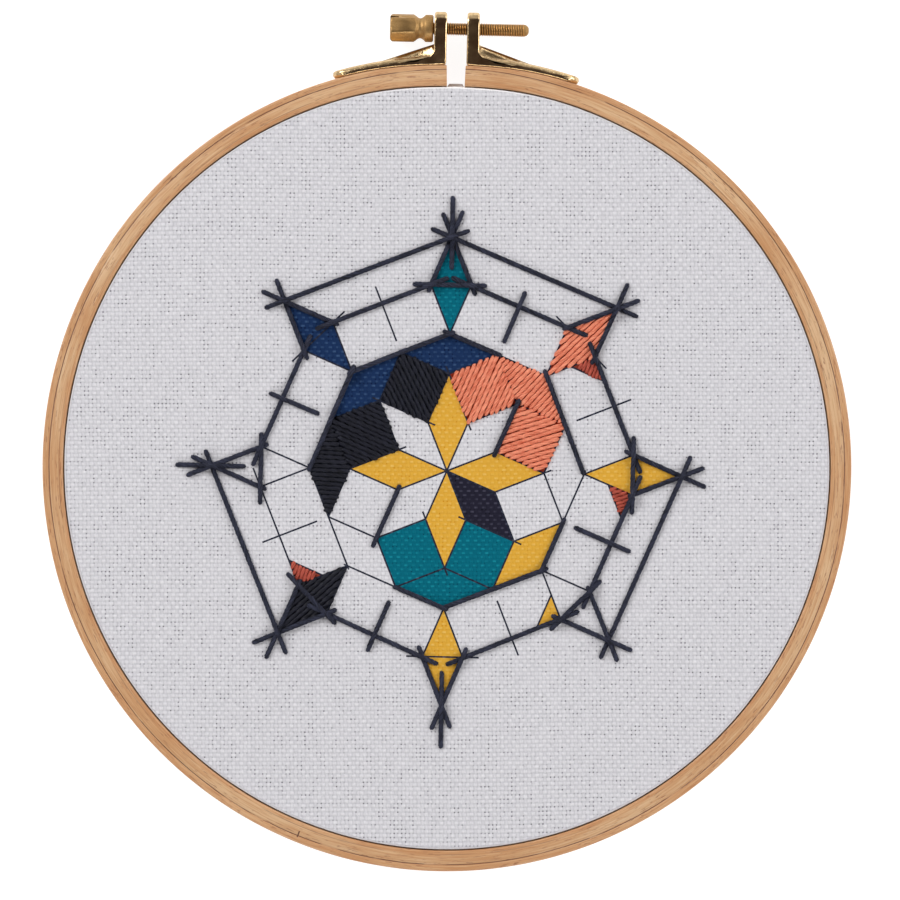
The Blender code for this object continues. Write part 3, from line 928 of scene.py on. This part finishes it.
def cloth_mesh():
    """The disc, its shoulder and the skirt between the rings."""
    face_radius = cloth_radius - SHOULDER
    flat, faces, inks = printed_disc(face_radius, printed_areas())
    shape = bmesh.new()
    layer = shape.loops.layers.float_color.new("ink")
    verts = [shape.verts.new((point.x, point.y, cloth_face)) for point in flat]
    for corners, ink in zip(faces, inks):
        face = shape.faces.new([verts[index] for index in corners])
        for loop in face.loops:
            loop[layer] = (*ink, 1.0) if ink else (0.0, 0.0, 0.0, 0.0)
    edge = [vert for vert in verts if vert.co.xy.length > face_radius - RIM_SLACK]
    edge.sort(key=lambda vert: math.atan2(vert.co.y, vert.co.x))
    levels = []
    for step in range(1, SHOULDER_STEPS + 1):
        turn = math.radians(90 * step / SHOULDER_STEPS)
        out, down = SHOULDER * math.sin(turn), SHOULDER * (1 - math.cos(turn))
        levels.append((face_radius + out, cloth_face - down))
    drop = levels[-1][1] - cloth_hem
    for step in range(1, SKIRT_STEPS + 1):
        levels.append((cloth_radius, cloth_hem + drop * (SKIRT_STEPS - step) / SKIRT_STEPS))
    above = edge
    for radius, height in levels:
        below = []
        for vert in edge:
            out = vert.co.xy.normalized() * radius
            below.append(shape.verts.new((out.x, out.y, height)))
        for index in range(len(edge)):
            after = (index + 1) % len(edge)
            shape.faces.new((above[index], below[index], below[after], above[after]))
        above = below
    bmesh.ops.translate(shape, verts=shape.verts, vec=centre)
    shape.normal_update()
    mesh = bpy.data.meshes.new("stretched_cloth")
    shape.to_mesh(mesh)
    shape.free()
    mesh.shade_smooth()
    return mesh


def sprung(item):
    """Let the turned-down cloth spring out at the split, most at its trimmed edge."""
    for vert in item.data.vertices:
        flat = (vert.co - centre).xy
        if flat.length > INNERMOST:
            beside = math.degrees(math.atan2(flat.x, flat.y))
            drop = (cloth_face - vert.co.z) / (cloth_face - cloth_hem)
            free = math.exp(-(beside / FLARE_REACH) ** FLARE_POWER)
            vert.co.xy += flat.normalized() * FLARE * drop * free


cloth = bpy.data.objects.new("stretched_cloth", cloth_mesh())
eased(cloth, INNERMOST - CLOTH_EASE, INNERMOST)
sprung(cloth)
bpy.context.scene.collection.objects.link(cloth)
cloth.data.materials.append(printed_cotton)
cloth.data.materials.append(plain_cotton)
body = cloth.modifiers.new("thickness", 'SOLIDIFY')
body.thickness = CLOTH_THICK
body.offset = -1.0
body.use_even_offset = True
body.material_offset = 1
body.material_offset_rim = 1
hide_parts("cloth")
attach(cloth, "hoop")

# %% [markdown]
# Thread. Stranded cotton is several fine strands laid side by side with a loose twist. One tube
# per stitch is enough, if its section is lobed like the strands and turns along its length.
# Python works out where each stitch runs: it dives into the cloth at both ends, where it is
# pinched, and humps over what it crosses. The tree turns those lines into thread: it twists
# the section, sweeps it and flattens the tube onto the cloth, as tension does.

# %% Thread tree
LUMPS = 900.0                # lumps to the metre


def thread_tree():
    """Lines in, twisted and flattened thread out."""
    entries = {"Half width": 'NodeSocketFloat', "Strands": 'NodeSocketFloat', "Crease": 'NodeSocketFloat',
               "Twist": 'NodeSocketFloat', "Flatness": 'NodeSocketFloat', "Fuzz": 'NodeSocketFloat',
               "Section steps": 'NodeSocketInt', "Material": 'NodeSocketMaterial'}
    tree, wires, group = new_tree("stranded thread", entries)
    line = wires.node("GeometryNodeMeshToCurve", None, {0: group})
    width = wires.node("GeometryNodeInputNamedAttribute", {"data_type": 'FLOAT'}, {"Name": "width"})
    run = wires.node("GeometryNodeSplineParameter", take="Length")
    keep = {"data_type": 'FLOAT'}
    line = wires.node("GeometryNodeStoreNamedAttribute", keep, {0: line, "Name": "run", "Value": run})
    line = wires.node("GeometryNodeSetCurveTilt", None, {"Curve": line, "Tilt": run * group.also("Twist")})
    section = wires.node("GeometryNodeCurvePrimitiveCircle", {"mode": 'RADIUS'},
                         {"Resolution": group.also("Section steps"), "Radius": 1.0})
    around = wires.node("GeometryNodeSplineParameter", take="Factor")
    lobe = abs(wires.maths('COSINE', around * group.also("Strands") * math.pi))
    size = 1 - group.also("Crease") * (1 - lobe)
    where = wires.node("GeometryNodeInputPosition")
    lobed = wires.vector('MULTIPLY', where, wires.point(size, size, size))
    section = wires.node("GeometryNodeSetPosition", None, {"Geometry": section, "Position": lobed})
    kept = {0: section, "Name": "around", "Value": around}
    section = wires.node("GeometryNodeStoreNamedAttribute", keep, kept)
    size = width * group.also("Half width")
    swept = {0: line, 1: section, "Scale": size, "Fill Caps": True}
    tube = wires.node("GeometryNodeCurveToMesh", None, swept)
    spine = wires.node("GeometryNodeInputNamedAttribute", {"data_type": 'FLOAT'}, {"Name": "spine"})
    parts = wires.node("ShaderNodeSeparateXYZ", None, {0: where}, take="X")
    level = spine + (parts.also("Z") - spine) * group.also("Flatness")
    flat = wires.point(parts, parts.also("Y"), level)
    lumps = wires.scaled(wires.jitter(where, LUMPS), group.also("Fuzz"))
    entries = {"Geometry": tube, "Position": flat, "Offset": lumps}
    tube = wires.node("GeometryNodeSetPosition", None, entries)
    finish_tree(wires, tube)
    return tree


def guide_lines(name, runs):
    """Runs of (point, width) as loose edges, with each point's width, height and tint kept."""
    points, edges, widths, tints = [], [], [], []
    for run, tint in runs:
        start = len(points)
        for point, width in run:
            points.append(point)
            widths.append(width)
            tints.append(tint)
        edges += [(index, index + 1) for index in range(start, len(points) - 1)]
    mesh = bpy.data.meshes.new(name)
    mesh.from_pydata(points, edges, [])
    mesh.attributes.new("width", 'FLOAT', 'POINT').data.foreach_set("value", widths)
    mesh.attributes.new("spine", 'FLOAT', 'POINT').data.foreach_set("value", [point[2] for point in points])
    mesh.attributes.new("tint", 'FLOAT', 'POINT').data.foreach_set("value", tints)
    return mesh


spin_thread = thread_tree()
print("thread tree has", len(spin_thread.nodes), "nodes")

# %% [markdown]
# What the thread looks like. Mercerised cotton has a soft sheen, and its fibres show as fine
# streaks that follow the twist; they are painted between a shaded and a lit copy of the thread's
# colour, painted shade and highlight together with real fibre tone. The tree keeps each spot's run
# along the stitch and its place round the tube, so the streaks can be drawn along the thread
# whichever way it lies.

# %% Thread finish
FIBRE_LENGTH = 2.6 * MM
FIBRES = 22.0                # fibre bundles seen round one thread
FIBRE_SEED = 40              # sets each stitch's fibres apart from the next one's
FIBRE_SHARE = 0.7            # of the streaks; the rest is fuzz
FIBRE_SLOPE = (0.38, 0.66)
FIBRE_CONTRAST = 0.75
FIBRE_BUMP = (0.12 * MM, 0.7)
THREAD_SHINE = 0.22
THREAD_FUZZ = (2600.0, 3.0, 0.6)       # scale, detail and roughness of the noise
THREAD_WEAR = (420.0, 1.0)
WEAR_SLOPE = (0.45, 0.95, 0.0, 0.30)   # worn thread is lighter
TINT_SHARE = 0.35            # how much one stitch differs from the next
THREADS = {
    # name: painted shade, colour and painted light of its fibres, roughness
    "navy_thread": ((0.001, 0.001, 0.004, 1.0), (0.008, 0.010, 0.021, 1.0),
                    (0.046, 0.051, 0.088, 1.0), 0.66),
    "dark_satin_thread": ((0.001, 0.001, 0.003, 1.0), (0.005, 0.006, 0.011, 1.0),
                          (0.017, 0.018, 0.032, 1.0), 0.55),
    "coral_thread": ((0.560, 0.100, 0.045, 1.0), (0.810, 0.215, 0.112, 1.0),
                     (1.000, 0.390, 0.240, 1.0), 0.55),
    "red_thread": ((0.230, 0.030, 0.018, 1.0), (0.420, 0.066, 0.038, 1.0),
                   (0.620, 0.130, 0.085, 1.0), 0.58),
}


def cotton_thread(name, shade, colour, light, roughness):
    """Mercerised cotton: fine fibres, a soft sheen and a little difference between stitches."""
    thread = Finish(name, roughness)
    thread.set("Specular IOR Level", THREAD_SHINE)
    tint = thread.node("ShaderNodeAttribute", {"attribute_name": "tint"}, take="Fac")
    where = thread.place()
    fuzz = thread.noise(where, *THREAD_FUZZ)
    wear = thread.noise(where, *THREAD_WEAR)
    run = thread.node("ShaderNodeAttribute", {"attribute_name": "run"}, take="Fac")
    around = thread.node("ShaderNodeAttribute", {"attribute_name": "around"}, take="Fac")
    spot = thread.point(run / FIBRE_LENGTH, around * FIBRES, tint * FIBRE_SEED)
    fibre = thread.noise(spot, 1.0, 1.0)
    streak = fibre * FIBRE_SHARE + fuzz * (1 - FIBRE_SHARE)
    # painted shade and highlight along the fibre streaks, with real fibre tone
    tone = thread.blend(thread.smooth(streak, *FIBRE_SLOPE), shade, light)
    tone = thread.blend(FIBRE_CONTRAST, colour, tone)
    tone = thread.blend(thread.smooth(wear + tint * TINT_SHARE, *WEAR_SLOPE), tone, light)
    thread.set("Base Color", tone)
    thread.raise_by(streak, *FIBRE_BUMP)
    return thread.material


threads = {name: cotton_thread(name, *looks) for name, looks in THREADS.items()}
print("threads:", sorted(threads))

# %% [markdown]
# Laying the stitches. The satin stitches come first: close parallel threads from edge to edge
# of a shape, a little ragged at the ends. Then the long single stitches go over their printed
# lines, some a little past the line's end and a touch off its angle, as a hand does it. Each
# new stitch that crosses an older one is lifted over it.

# %% Stitches
OUTLINE_HALF = 0.64 * MM
OUTLINE_LIFT = 0.40 * MM     # middle of the thread above the cloth
SATIN_LIFT = 0.30 * MM
DIVE = 0.55 * MM             # how far the ends go into the cloth
PINCH = 0.8 * MM             # length over which an end narrows and rises
PINCH_STEPS = 4
END_WIDTH = 0.72             # of the full width
BEAD = 0.6 * MM              # spacing of the points along a stitch
HUMP = 1.7 * MM              # half length of a hump
HUMP_MOST = 1.5 * MM         # one crossing lifts a stitch no higher
THREAD_STACK = 0.82 * MM     # one thread's height on another
SATIN_EDGE = 0.9 * MM        # a long stitch climbs onto satin over this much
SATIN_SHORTEST = 1.3 * MM    # no satin stitch is shorter
SATIN_TURN = 7               # a fill's direction is off by up to this, degrees
SATIN_LEAN = 1.2             # and each of its stitches by up to this
SATIN_RAGGED = (-0.10, 0.60)    # past the shape's edge, in millimetres
SATIN_BOW = (-0.08, 0.14)       # up or down from its neighbours, in millimetres
LONG_SLIP = 0.9              # a long stitch is longer or shorter by up to this, in millimetres
LONG_LEAN = 0.7              # and off its line by up to this, degrees
PARALLEL = 1e-9              # a cross product this small means that two directions agree
SATINS = {
    # letter: pitch, half width, name, thread
    "C": (1.08 * MM, 0.56 * MM, "coral_satin", "coral_thread"),
    "N": (1.08 * MM, 0.60 * MM, "navy_satin", "dark_satin_thread"),
    "R": (0.95 * MM, 0.52 * MM, "red_satin", "red_thread"),
}
hand = random.Random(11)


def slope(share):
    """0 to 1 with soft ends."""
    share = min(max(share, 0.0), 1.0)
    return share * share * (3 - 2 * share)


def stops_along(length):
    """Distances along a stitch, closer together where its ends dive."""
    ends = [step * PINCH / PINCH_STEPS for step in range(PINCH_STEPS + 1)]
    middle = max(int((length - 2 * PINCH) / BEAD), 1)
    inner = [PINCH + (length - 2 * PINCH) * step / middle for step in range(1, middle)]
    return ends + inner + [length - distance for distance in reversed(ends)]


def stitch(start, end, lift, rise_at):
    """One stitch's points and widths; rise_at gives what it passes over."""
    length = abs(end - start)
    run = []
    for distance in stops_along(length):
        spot = start + (end - start) * distance / length
        edge = slope(min(distance, length - distance) / PINCH)
        height = cloth_face - DIVE * (1 - edge) + (lift + rise_at(distance, spot)) * edge
        width = END_WIDTH + (1 - END_WIDTH) * edge
        run.append(((spot.real + centre.x, spot.imag + centre.y, height), width))
    return run


def clipped(corners, origin, along):
    """Where a line enters and leaves a convex shape, as distances from its origin."""
    crossings = []
    for index, corner in enumerate(corners):
        after = corners[(index + 1) % len(corners)]
        edge = after - corner
        turn = (along.conjugate() * edge).imag
        if abs(turn) < PARALLEL:
            continue
        share = ((origin - corner).conjugate() * along).imag / (edge.conjugate() * along).imag
        if 0.0 <= share <= 1.0:
            crossings.append(((corner + edge * share - origin) * along.conjugate()).real)
    return (min(crossings), max(crossings)) if len(crossings) > 1 else None


def satin_fill(corners, pitch, direction):
    """Close parallel stitches across a convex shape."""
    along = cmath.rect(1.0, direction)
    middle = sum(corners) / len(corners)
    offsets = [((corner - middle) * along.conjugate()).imag for corner in corners]
    count = max(int(round((max(offsets) - min(offsets)) / pitch)), 2)
    runs = []
    for index in range(count):
        across = min(offsets) + (max(offsets) - min(offsets)) * (index + 0.5) / count
        lean = along * cmath.rect(1.0, math.radians(hand.uniform(-SATIN_LEAN, SATIN_LEAN)))
        origin = middle + along * 1j * across
        span = clipped(corners, origin, lean)
        if span is None or span[1] - span[0] < SATIN_SHORTEST:
            continue
        start = origin + lean * (span[0] - hand.uniform(*SATIN_RAGGED) * MM)
        end = origin + lean * (span[1] + hand.uniform(*SATIN_RAGGED) * MM)
        bow = hand.uniform(*SATIN_BOW) * MM
        runs.append((stitch(start, end, SATIN_LIFT, lambda distance, spot, bow=bow: bow), hand.random()))
    return runs


def long_axis(corners):
    """Direction from the first corner to the opposite one."""
    far = corners[2] if len(corners) == 4 else (corners[1] + corners[2]) / 2
    return cmath.phase(far - corners[0])


satin_runs = {letter: [] for letter in SATINS}
satin_areas = []
for kind, letter, corners in shapes:
    if letter in SATINS:
        direction = long_axis(corners) + math.radians(hand.uniform(-SATIN_TURN, SATIN_TURN))
        satin_runs[letter] += satin_fill(corners, SATINS[letter][0], direction)
        satin_areas.append(corners)


def over_satin(spot):
    """How much satin lies under a spot, from 0 to 1."""
    best = 0.0
    for corners in satin_areas:
        sides = []
        for index, corner in enumerate(corners):
            edge = corners[(index + 1) % len(corners)] - corner
            sides.append((edge.conjugate() * (spot - corner)).imag / abs(edge))
        depth = max(min(sides), min(-side for side in sides))
        best = max(best, slope((depth + SATIN_EDGE) / SATIN_EDGE))
    return best


class LongStitch:
    """One thick stitch and the humps it makes over older ones."""

    def __init__(self, start, end):
        self.start = start
        self.end = end
        self.humps = []

    def rise(self, distance, spot):
        total = over_satin(spot) * SATIN_LIFT
        return total + sum(high * math.exp(-((distance - at) / HUMP) ** 2) for at, high in self.humps)

    def meeting(self, other):
        """Distances along this stitch and the other where they cross, or None."""
        mine, theirs = self.end - self.start, other.end - other.start
        turn = (mine.conjugate() * theirs).imag
        if abs(turn) < PARALLEL:
            return None
        gap = other.start - self.start
        here = (gap.conjugate() * theirs).imag / turn
        there = (gap.conjugate() * mine).imag / turn
        if 0.0 < here < 1.0 and 0.0 < there < 1.0:
            return here * abs(mine), there * abs(theirs)
        return None

    def climb(self, others):
        """Lift this stitch over every older one it crosses."""
        for other in others:
            crossing = self.meeting(other)
            if crossing:
                here, there = crossing
                spot = self.start + (self.end - self.start) * here / abs(self.end - self.start)
                needed = other.rise(there, spot) + THREAD_STACK - self.rise(here, spot)
                if needed > 0:
                    self.humps.append((here, min(needed, HUMP_MOST)))


def hand_laid(start, end):
    """A drawn line as a hand stitches it: a touch long or short, and a touch off its angle."""
    slips = [hand.uniform(-LONG_SLIP, LONG_SLIP) * MM for _ in range(2)]
    start, end = stretched(start, end, *slips)
    middle = (start + end) / 2
    lean = cmath.rect(1.0, math.radians(hand.uniform(-LONG_LEAN, LONG_LEAN)))
    return middle + (start - middle) * lean, middle + (end - middle) * lean


laid = []
for letter, start, end in lines:
    if letter == "S":
        new = LongStitch(*hand_laid(start, end))
        new.climb(laid)
        laid.append(new)
outline_runs = [(stitch(new.start, new.end, OUTLINE_LIFT, new.rise), hand.random()) for new in laid]
total = sum(abs(new.end - new.start) for new in laid)
print(len(laid), "long stitches,", round(total / MM), "mm;",
      {letter: len(runs) for letter, runs in satin_runs.items()}, "satin stitches")

# %% [markdown]
# The planned runs now go through the thread tree. The long stitches are six strands thick. The
# satin stitches are half of that, so they lie flatter and closer, and need fewer sides.

# %% Spin the thread
CREASE = 0.28                # depth of the creases between strands, as a share
FLATNESS = 0.74              # a stitch's height, as a share of its width
FUZZ = 0.24 * MM
TWIST = 2 * math.pi / (7.0 * MM)
LONG_STRANDS = (6, 24)       # strands, and steps round the section
SATIN_STRANDS = (3, 12)


def spun(name, runs, half_width, strands, steps, material):
    """Thread along the runs, riding with the cloth."""
    item = grow(name, guide_lines(name, runs), spin_thread, {
        "Half width": half_width, "Strands": float(strands), "Crease": CREASE, "Twist": TWIST,
        "Flatness": FLATNESS, "Fuzz": FUZZ, "Section steps": steps, "Material": material})
    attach(item, "hoop")
    print(name, triangles(item), "triangles")


spun("outline_stitches", outline_runs, OUTLINE_HALF, *LONG_STRANDS, threads["navy_thread"])
for letter, (pitch, half_width, name, thread) in SATINS.items():
    spun(name, satin_runs[letter], half_width, *SATIN_STRANDS, threads[thread])

# %% [markdown]
# Brass. The two brackets are cast and polished, so they mirror the room: black where they face
# the dark ceiling, bright along every rounded edge. The screw is turned and left satin.
# Perfect mirrors look false, so a faint waviness and fine wear go into the bump and roughness.

# %% Brass finishes
SHANK_RADIUS = 1.6 * MM
COLLAR_FACE = -5.9 * MM      # where the shank starts, from the middle of the split
RIDGE = 0.19 * MM            # half the height of the thread's ridge
THREAD_END = 1.1 * MM        # plain nose past the last turn
THREAD_FADE = 1.3            # its painted shade fades out over this many noses
SLOT_TURN = math.radians(57.0)
SLOT_HALF = 0.50 * MM
SLOT_DEPTH = 2.1 * MM
SLOT_EDGE = (1.12, 1.04)     # painted shade ends between these, as shares of the slot's half width
SLOT_END = 1.05              # and by here along it
# painted shade for the thread's grooves and the screw's slot
HOLLOW_SHADE = (0.070, 0.034, 0.012, 1.0)
GROOVE_SHADE = 0.88
SLOT_SHADE = 0.9
GROOVE_REACH = 1.3           # the groove's floor, in heights of the ridge
BRASS_WAVES = (260.0, 2.0)   # scale and detail of the broad waviness
BRASS_GRAIN = (3.0, 0.6)     # detail and roughness of the fine grain
BRASS_WEAR = (0.35, 0.75, 0.0, 0.55)
GRAIN_SHARE = 0.6            # the grain's part in how rough the metal is
ROUGH_SLOPE = (0.5, 1.1)
ROUGH_RANGE = (0.75, 1.35)   # smoothest and roughest spot, as shares of its roughness
WAVE_SHARE = 0.8             # the waviness's part in the bump; the rest is grain


def brass(name, colour, dark, roughness, wave, grain, shaded_hollows):
    """Brass with a wavy or a turned surface; the screw's thread grooves and slot get painted shade."""
    metal = Finish(name, roughness, 1.0)
    where = metal.place()
    broad = metal.noise(where, *BRASS_WAVES)
    fine = metal.noise(where, grain, *BRASS_GRAIN)
    tone = metal.blend(metal.smooth(fine, *BRASS_WEAR), colour, dark)
    if shaded_hollows:
        x = metal.node("ShaderNodeSeparateXYZ", None, {0: metal.place(tuple(-screw_axis))}, take="X")
        y, z = x.also("Y"), x.also("Z")
        off_axis = metal.maths('SQRT', y * y + z * z)
        last, before_last = screw_high.x - THREAD_END, screw_high.x - THREAD_END * THREAD_FADE
        floor = SHANK_RADIUS - RIDGE * GROOVE_REACH
        threaded = metal.smooth(x, COLLAR_FACE, COLLAR_FACE + RIDGE)
        threaded = threaded * metal.smooth(x, last, before_last)
        groove = metal.smooth(off_axis, SHANK_RADIUS, floor, 0.0, GROOVE_SHADE) * threaded
        off_slot = abs(y * math.cos(SLOT_TURN) - z * math.sin(SLOT_TURN))
        slot = metal.smooth(off_slot, SLOT_HALF * SLOT_EDGE[0], SLOT_HALF * SLOT_EDGE[1])
        slot = slot * metal.smooth(x, screw_low.x + SLOT_DEPTH * SLOT_END, screw_low.x + SLOT_DEPTH)
        # painted shade: the grooves and the slot are painted dark
        tone = metal.blend(metal.maths('MAXIMUM', groove, slot * SLOT_SHADE), tone, HOLLOW_SHADE)
    metal.set("Base Color", tone)
    smoothest, roughest = (roughness * share for share in ROUGH_RANGE)
    uneven = metal.smooth(broad + fine * GRAIN_SHARE, *ROUGH_SLOPE, smoothest, roughest)
    metal.set("Roughness", uneven)
    metal.raise_by(broad * WAVE_SHARE + fine * (1 - WAVE_SHARE), wave)
    return metal.material


BRASSES = {
    # name: colour, worn colour, roughness, waviness, scale of the grain, painted shade in its grooves and
    # slot
    "polished_brass_plate": ((0.740, 0.535, 0.290, 1.0), (0.370, 0.220, 0.090, 1.0),
                             0.20, 0.26 * MM, 1300.0, False),
    "turned_brass_screw": ((0.450, 0.275, 0.110, 1.0), (0.320, 0.190, 0.070, 1.0),
                           0.50, 0.04 * MM, 2400.0, True),
    "rolled_brass_thread": ((0.560, 0.300, 0.098, 1.0), (0.280, 0.130, 0.040, 1.0),
                            0.26, 0.04 * MM, 2400.0, True),
}
polished, turned, rolled = (brass(name, *looks) for name, looks in BRASSES.items())
print("brass:", ", ".join(BRASSES))

# %% [markdown]
# The brackets and the screw's body. Their solids already have the right form, so a smooth copy
# of each is enough: its loose triangles are joined and its flats stay flat. The real feet are
# polished rounder along their front and back edges than the solids, so those are worn down
# here, and the seats follow the ring where it is a little flat.

# %% Bracket plates and screw body
WELD = 0.002 * MM            # corners closer than this are one
PLATE_SHARP = 50             # degrees; a real edge turns by more
SCREW_SHARP = 40
FOOT_START = 4.6             # the foot clears the hollow here, degrees from the split
FOOT_WORN_FROM = 1.1 * MM    # wear is on points this high above the ring's circle
FOOT_WORN_TO = 1.9 * MM
FOOT_WEAR = [(3.7 * MM, 0.30 * MM), (4.0 * MM, 0.60 * MM)]   # depth from the middle, drop
SEAT_TOP = hoop_radius + 1.4 * MM
SEAT_FLOOR = hoop_radius + 0.2 * MM


def welded_copy(node, name, material):
    """A copy of a solid, its loose triangles joined, with one material."""
    shape = bmesh.new()
    shape.from_mesh(frame["nodes"][node].data)
    bmesh.ops.remove_doubles(shape, verts=shape.verts, dist=WELD)
    mesh = bpy.data.meshes.new(name)
    shape.to_mesh(mesh)
    shape.free()
    mesh.materials.clear()
    mesh.materials.append(material)
    item = bpy.data.objects.new(name, mesh)
    bpy.context.scene.collection.objects.link(item)
    return item


def even_shading(item, degrees):
    """Smooth roundings beside flat faces."""
    sharp_from(item, degrees)
    item.modifiers.new("flat faces stay flat", 'WEIGHTED_NORMAL').keep_sharp = True


def worn_foot(item):
    """Round off the foot's upper edges more than the solid does, front and back."""
    for vert in item.data.vertices:
        flat = (vert.co - centre).xy
        lift = flat.length - hoop_radius
        beside = abs(math.degrees(math.atan2(flat.x, flat.y)))
        off_middle = abs(vert.co.z - screw_axis.z)
        if beside > FOOT_START and FOOT_WORN_FROM < lift < FOOT_WORN_TO:
            wear = [drop for depth, drop in FOOT_WEAR if off_middle > depth]
            if wear:
                vert.co.xy -= flat.normalized() * max(wear)


for side in ("left", "right"):
    plate = welded_copy(f"bracket_{side}", f"bracket_{side}_plate", polished)
    worn_foot(plate)
    eased(plate, SEAT_TOP, SEAT_FLOOR)
    even_shading(plate, PLATE_SHARP)
    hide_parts(f"bracket_{side}")
    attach(plate, "hoop")
    print(plate.name, triangles(plate), "triangles")

screw = welded_copy("screw", "tightening_screw", turned)
even_shading(screw, SCREW_SHARP)
print(screw.name, triangles(screw), "triangles")

# %% [markdown]
# The screw's thread. A thread is a ridge wound round the shank, so a line along the axis is bent
# into a helix and a small round section is swept along it. Cutting a groove out of the shank
# would look the same and cost far more. The shank below is drawn in to the groove's depth.

# %% Wind the thread on the shank
CORE_SHARE = 0.80            # the groove's floor, as a share of the shank's radius
SOLID_NOSE = 0.5 * MM        # the solid's rounded end
NOSE = 1.1 * MM              # the same end here
NOSE_SHARE = 0.93            # its thickest part, as a share of the shank's radius
NOSE_BLUNT = 0.93            # 1 would bring it to a point
THREAD_PITCH = 0.60 * MM
TURN_STEPS = 24              # points on each turn of the ridge
RIDGE_SIDES = 8
SHANK_REACH = 1.05           # points within this share of the shank's radius belong to it
HAIR = 0.01 * MM             # points this near the collar's face are on it
NOSE_EDGE = -0.01            # the nose starts where the way into it passes this share
NEAR_AXIS = 0.1 * MM         # nearer the axis than this, a point is scaled as if it were here


def ridge_tree():
    """A line in, a helical ridge round it out."""
    entries = {"Turns": 'NodeSocketFloat', "Steps": 'NodeSocketInt', "Radius": 'NodeSocketFloat',
               "Ridge": 'NodeSocketFloat', "Material": 'NodeSocketMaterial'}
    tree, wires, group = new_tree("wound ridge", entries)
    axis = wires.node("GeometryNodeMeshToCurve", None, {0: group})
    count = {0: axis, "Count": group.also("Steps")}
    stops = wires.node("GeometryNodeResampleCurve", {"mode": 'COUNT'}, count)
    share = wires.node("GeometryNodeSplineParameter", take="Factor")
    turn = share * group.also("Turns") * (2 * math.pi)
    side = wires.maths('COSINE', turn) * group.also("Radius")
    rise = wires.maths('SINE', turn) * group.also("Radius")
    wound = {"Geometry": stops, "Offset": wires.point(0.0, side, rise)}
    helix = wires.node("GeometryNodeSetPosition", None, wound)
    section = wires.node("GeometryNodeCurvePrimitiveCircle", {"mode": 'RADIUS'},
                         {"Resolution": RIDGE_SIDES, "Radius": group.also("Ridge")})
    ridge = wires.node("GeometryNodeCurveToMesh", None, {0: helix, 1: section, "Fill Caps": True})
    finish_tree(wires, ridge)
    return tree


def slim_shank(item):
    """Draw the shank in to the groove's depth, and round its end like a bullet."""
    for vert in item.data.vertices:
        off_axis = vert.co - screw_axis
        if vert.co.x < COLLAR_FACE - HAIR or off_axis.yz.length > SHANK_RADIUS * SHANK_REACH:
            continue
        share = CORE_SHARE
        into_nose = 1 - (screw_high.x - vert.co.x) / SOLID_NOSE
        if into_nose > NOSE_EDGE:
            vert.co.x = screw_high.x - NOSE * (1 - into_nose)
            reach = NOSE_SHARE * math.sqrt(1 - (into_nose * NOSE_BLUNT) ** 2)
            share = reach * SHANK_RADIUS / max(off_axis.yz.length, NEAR_AXIS)
        vert.co.y = screw_axis.y + off_axis.y * share
        vert.co.z = screw_axis.z + off_axis.z * share


slim_shank(screw)
thread_start = screw_axis + Vector((COLLAR_FACE, 0.0, 0.0))
thread_stop = Vector((screw_high.x - THREAD_END, screw_axis.y, screw_axis.z))
turns = (thread_stop.x - thread_start.x) / THREAD_PITCH
axis_line = bpy.data.meshes.new("screw_axis")
axis_line.from_pydata([thread_start, thread_stop], [(0, 1)], [])
ridge = grow("screw_thread", axis_line, ridge_tree(), {
    "Turns": turns, "Steps": int(turns * TURN_STEPS), "Radius": SHANK_RADIUS - RIDGE, "Ridge": RIDGE,
    "Material": rolled})
for piece in (screw, ridge):
    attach(piece, "screw")
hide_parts("screw")
print("thread:", round(turns, 1), "turns,", triangles(ridge), "triangles")

# %% [markdown]
# Last, the finished scene is measured beside the solids. The two boxes differ only by the
# thread that lies on the cloth and a hair's breadth of sanding.

low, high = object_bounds()
for name, extent in (("solids", cad_high - cad_low), ("scene", high - low)):
    print(name, [round(value / MM, 1) for value in extent], "mm")
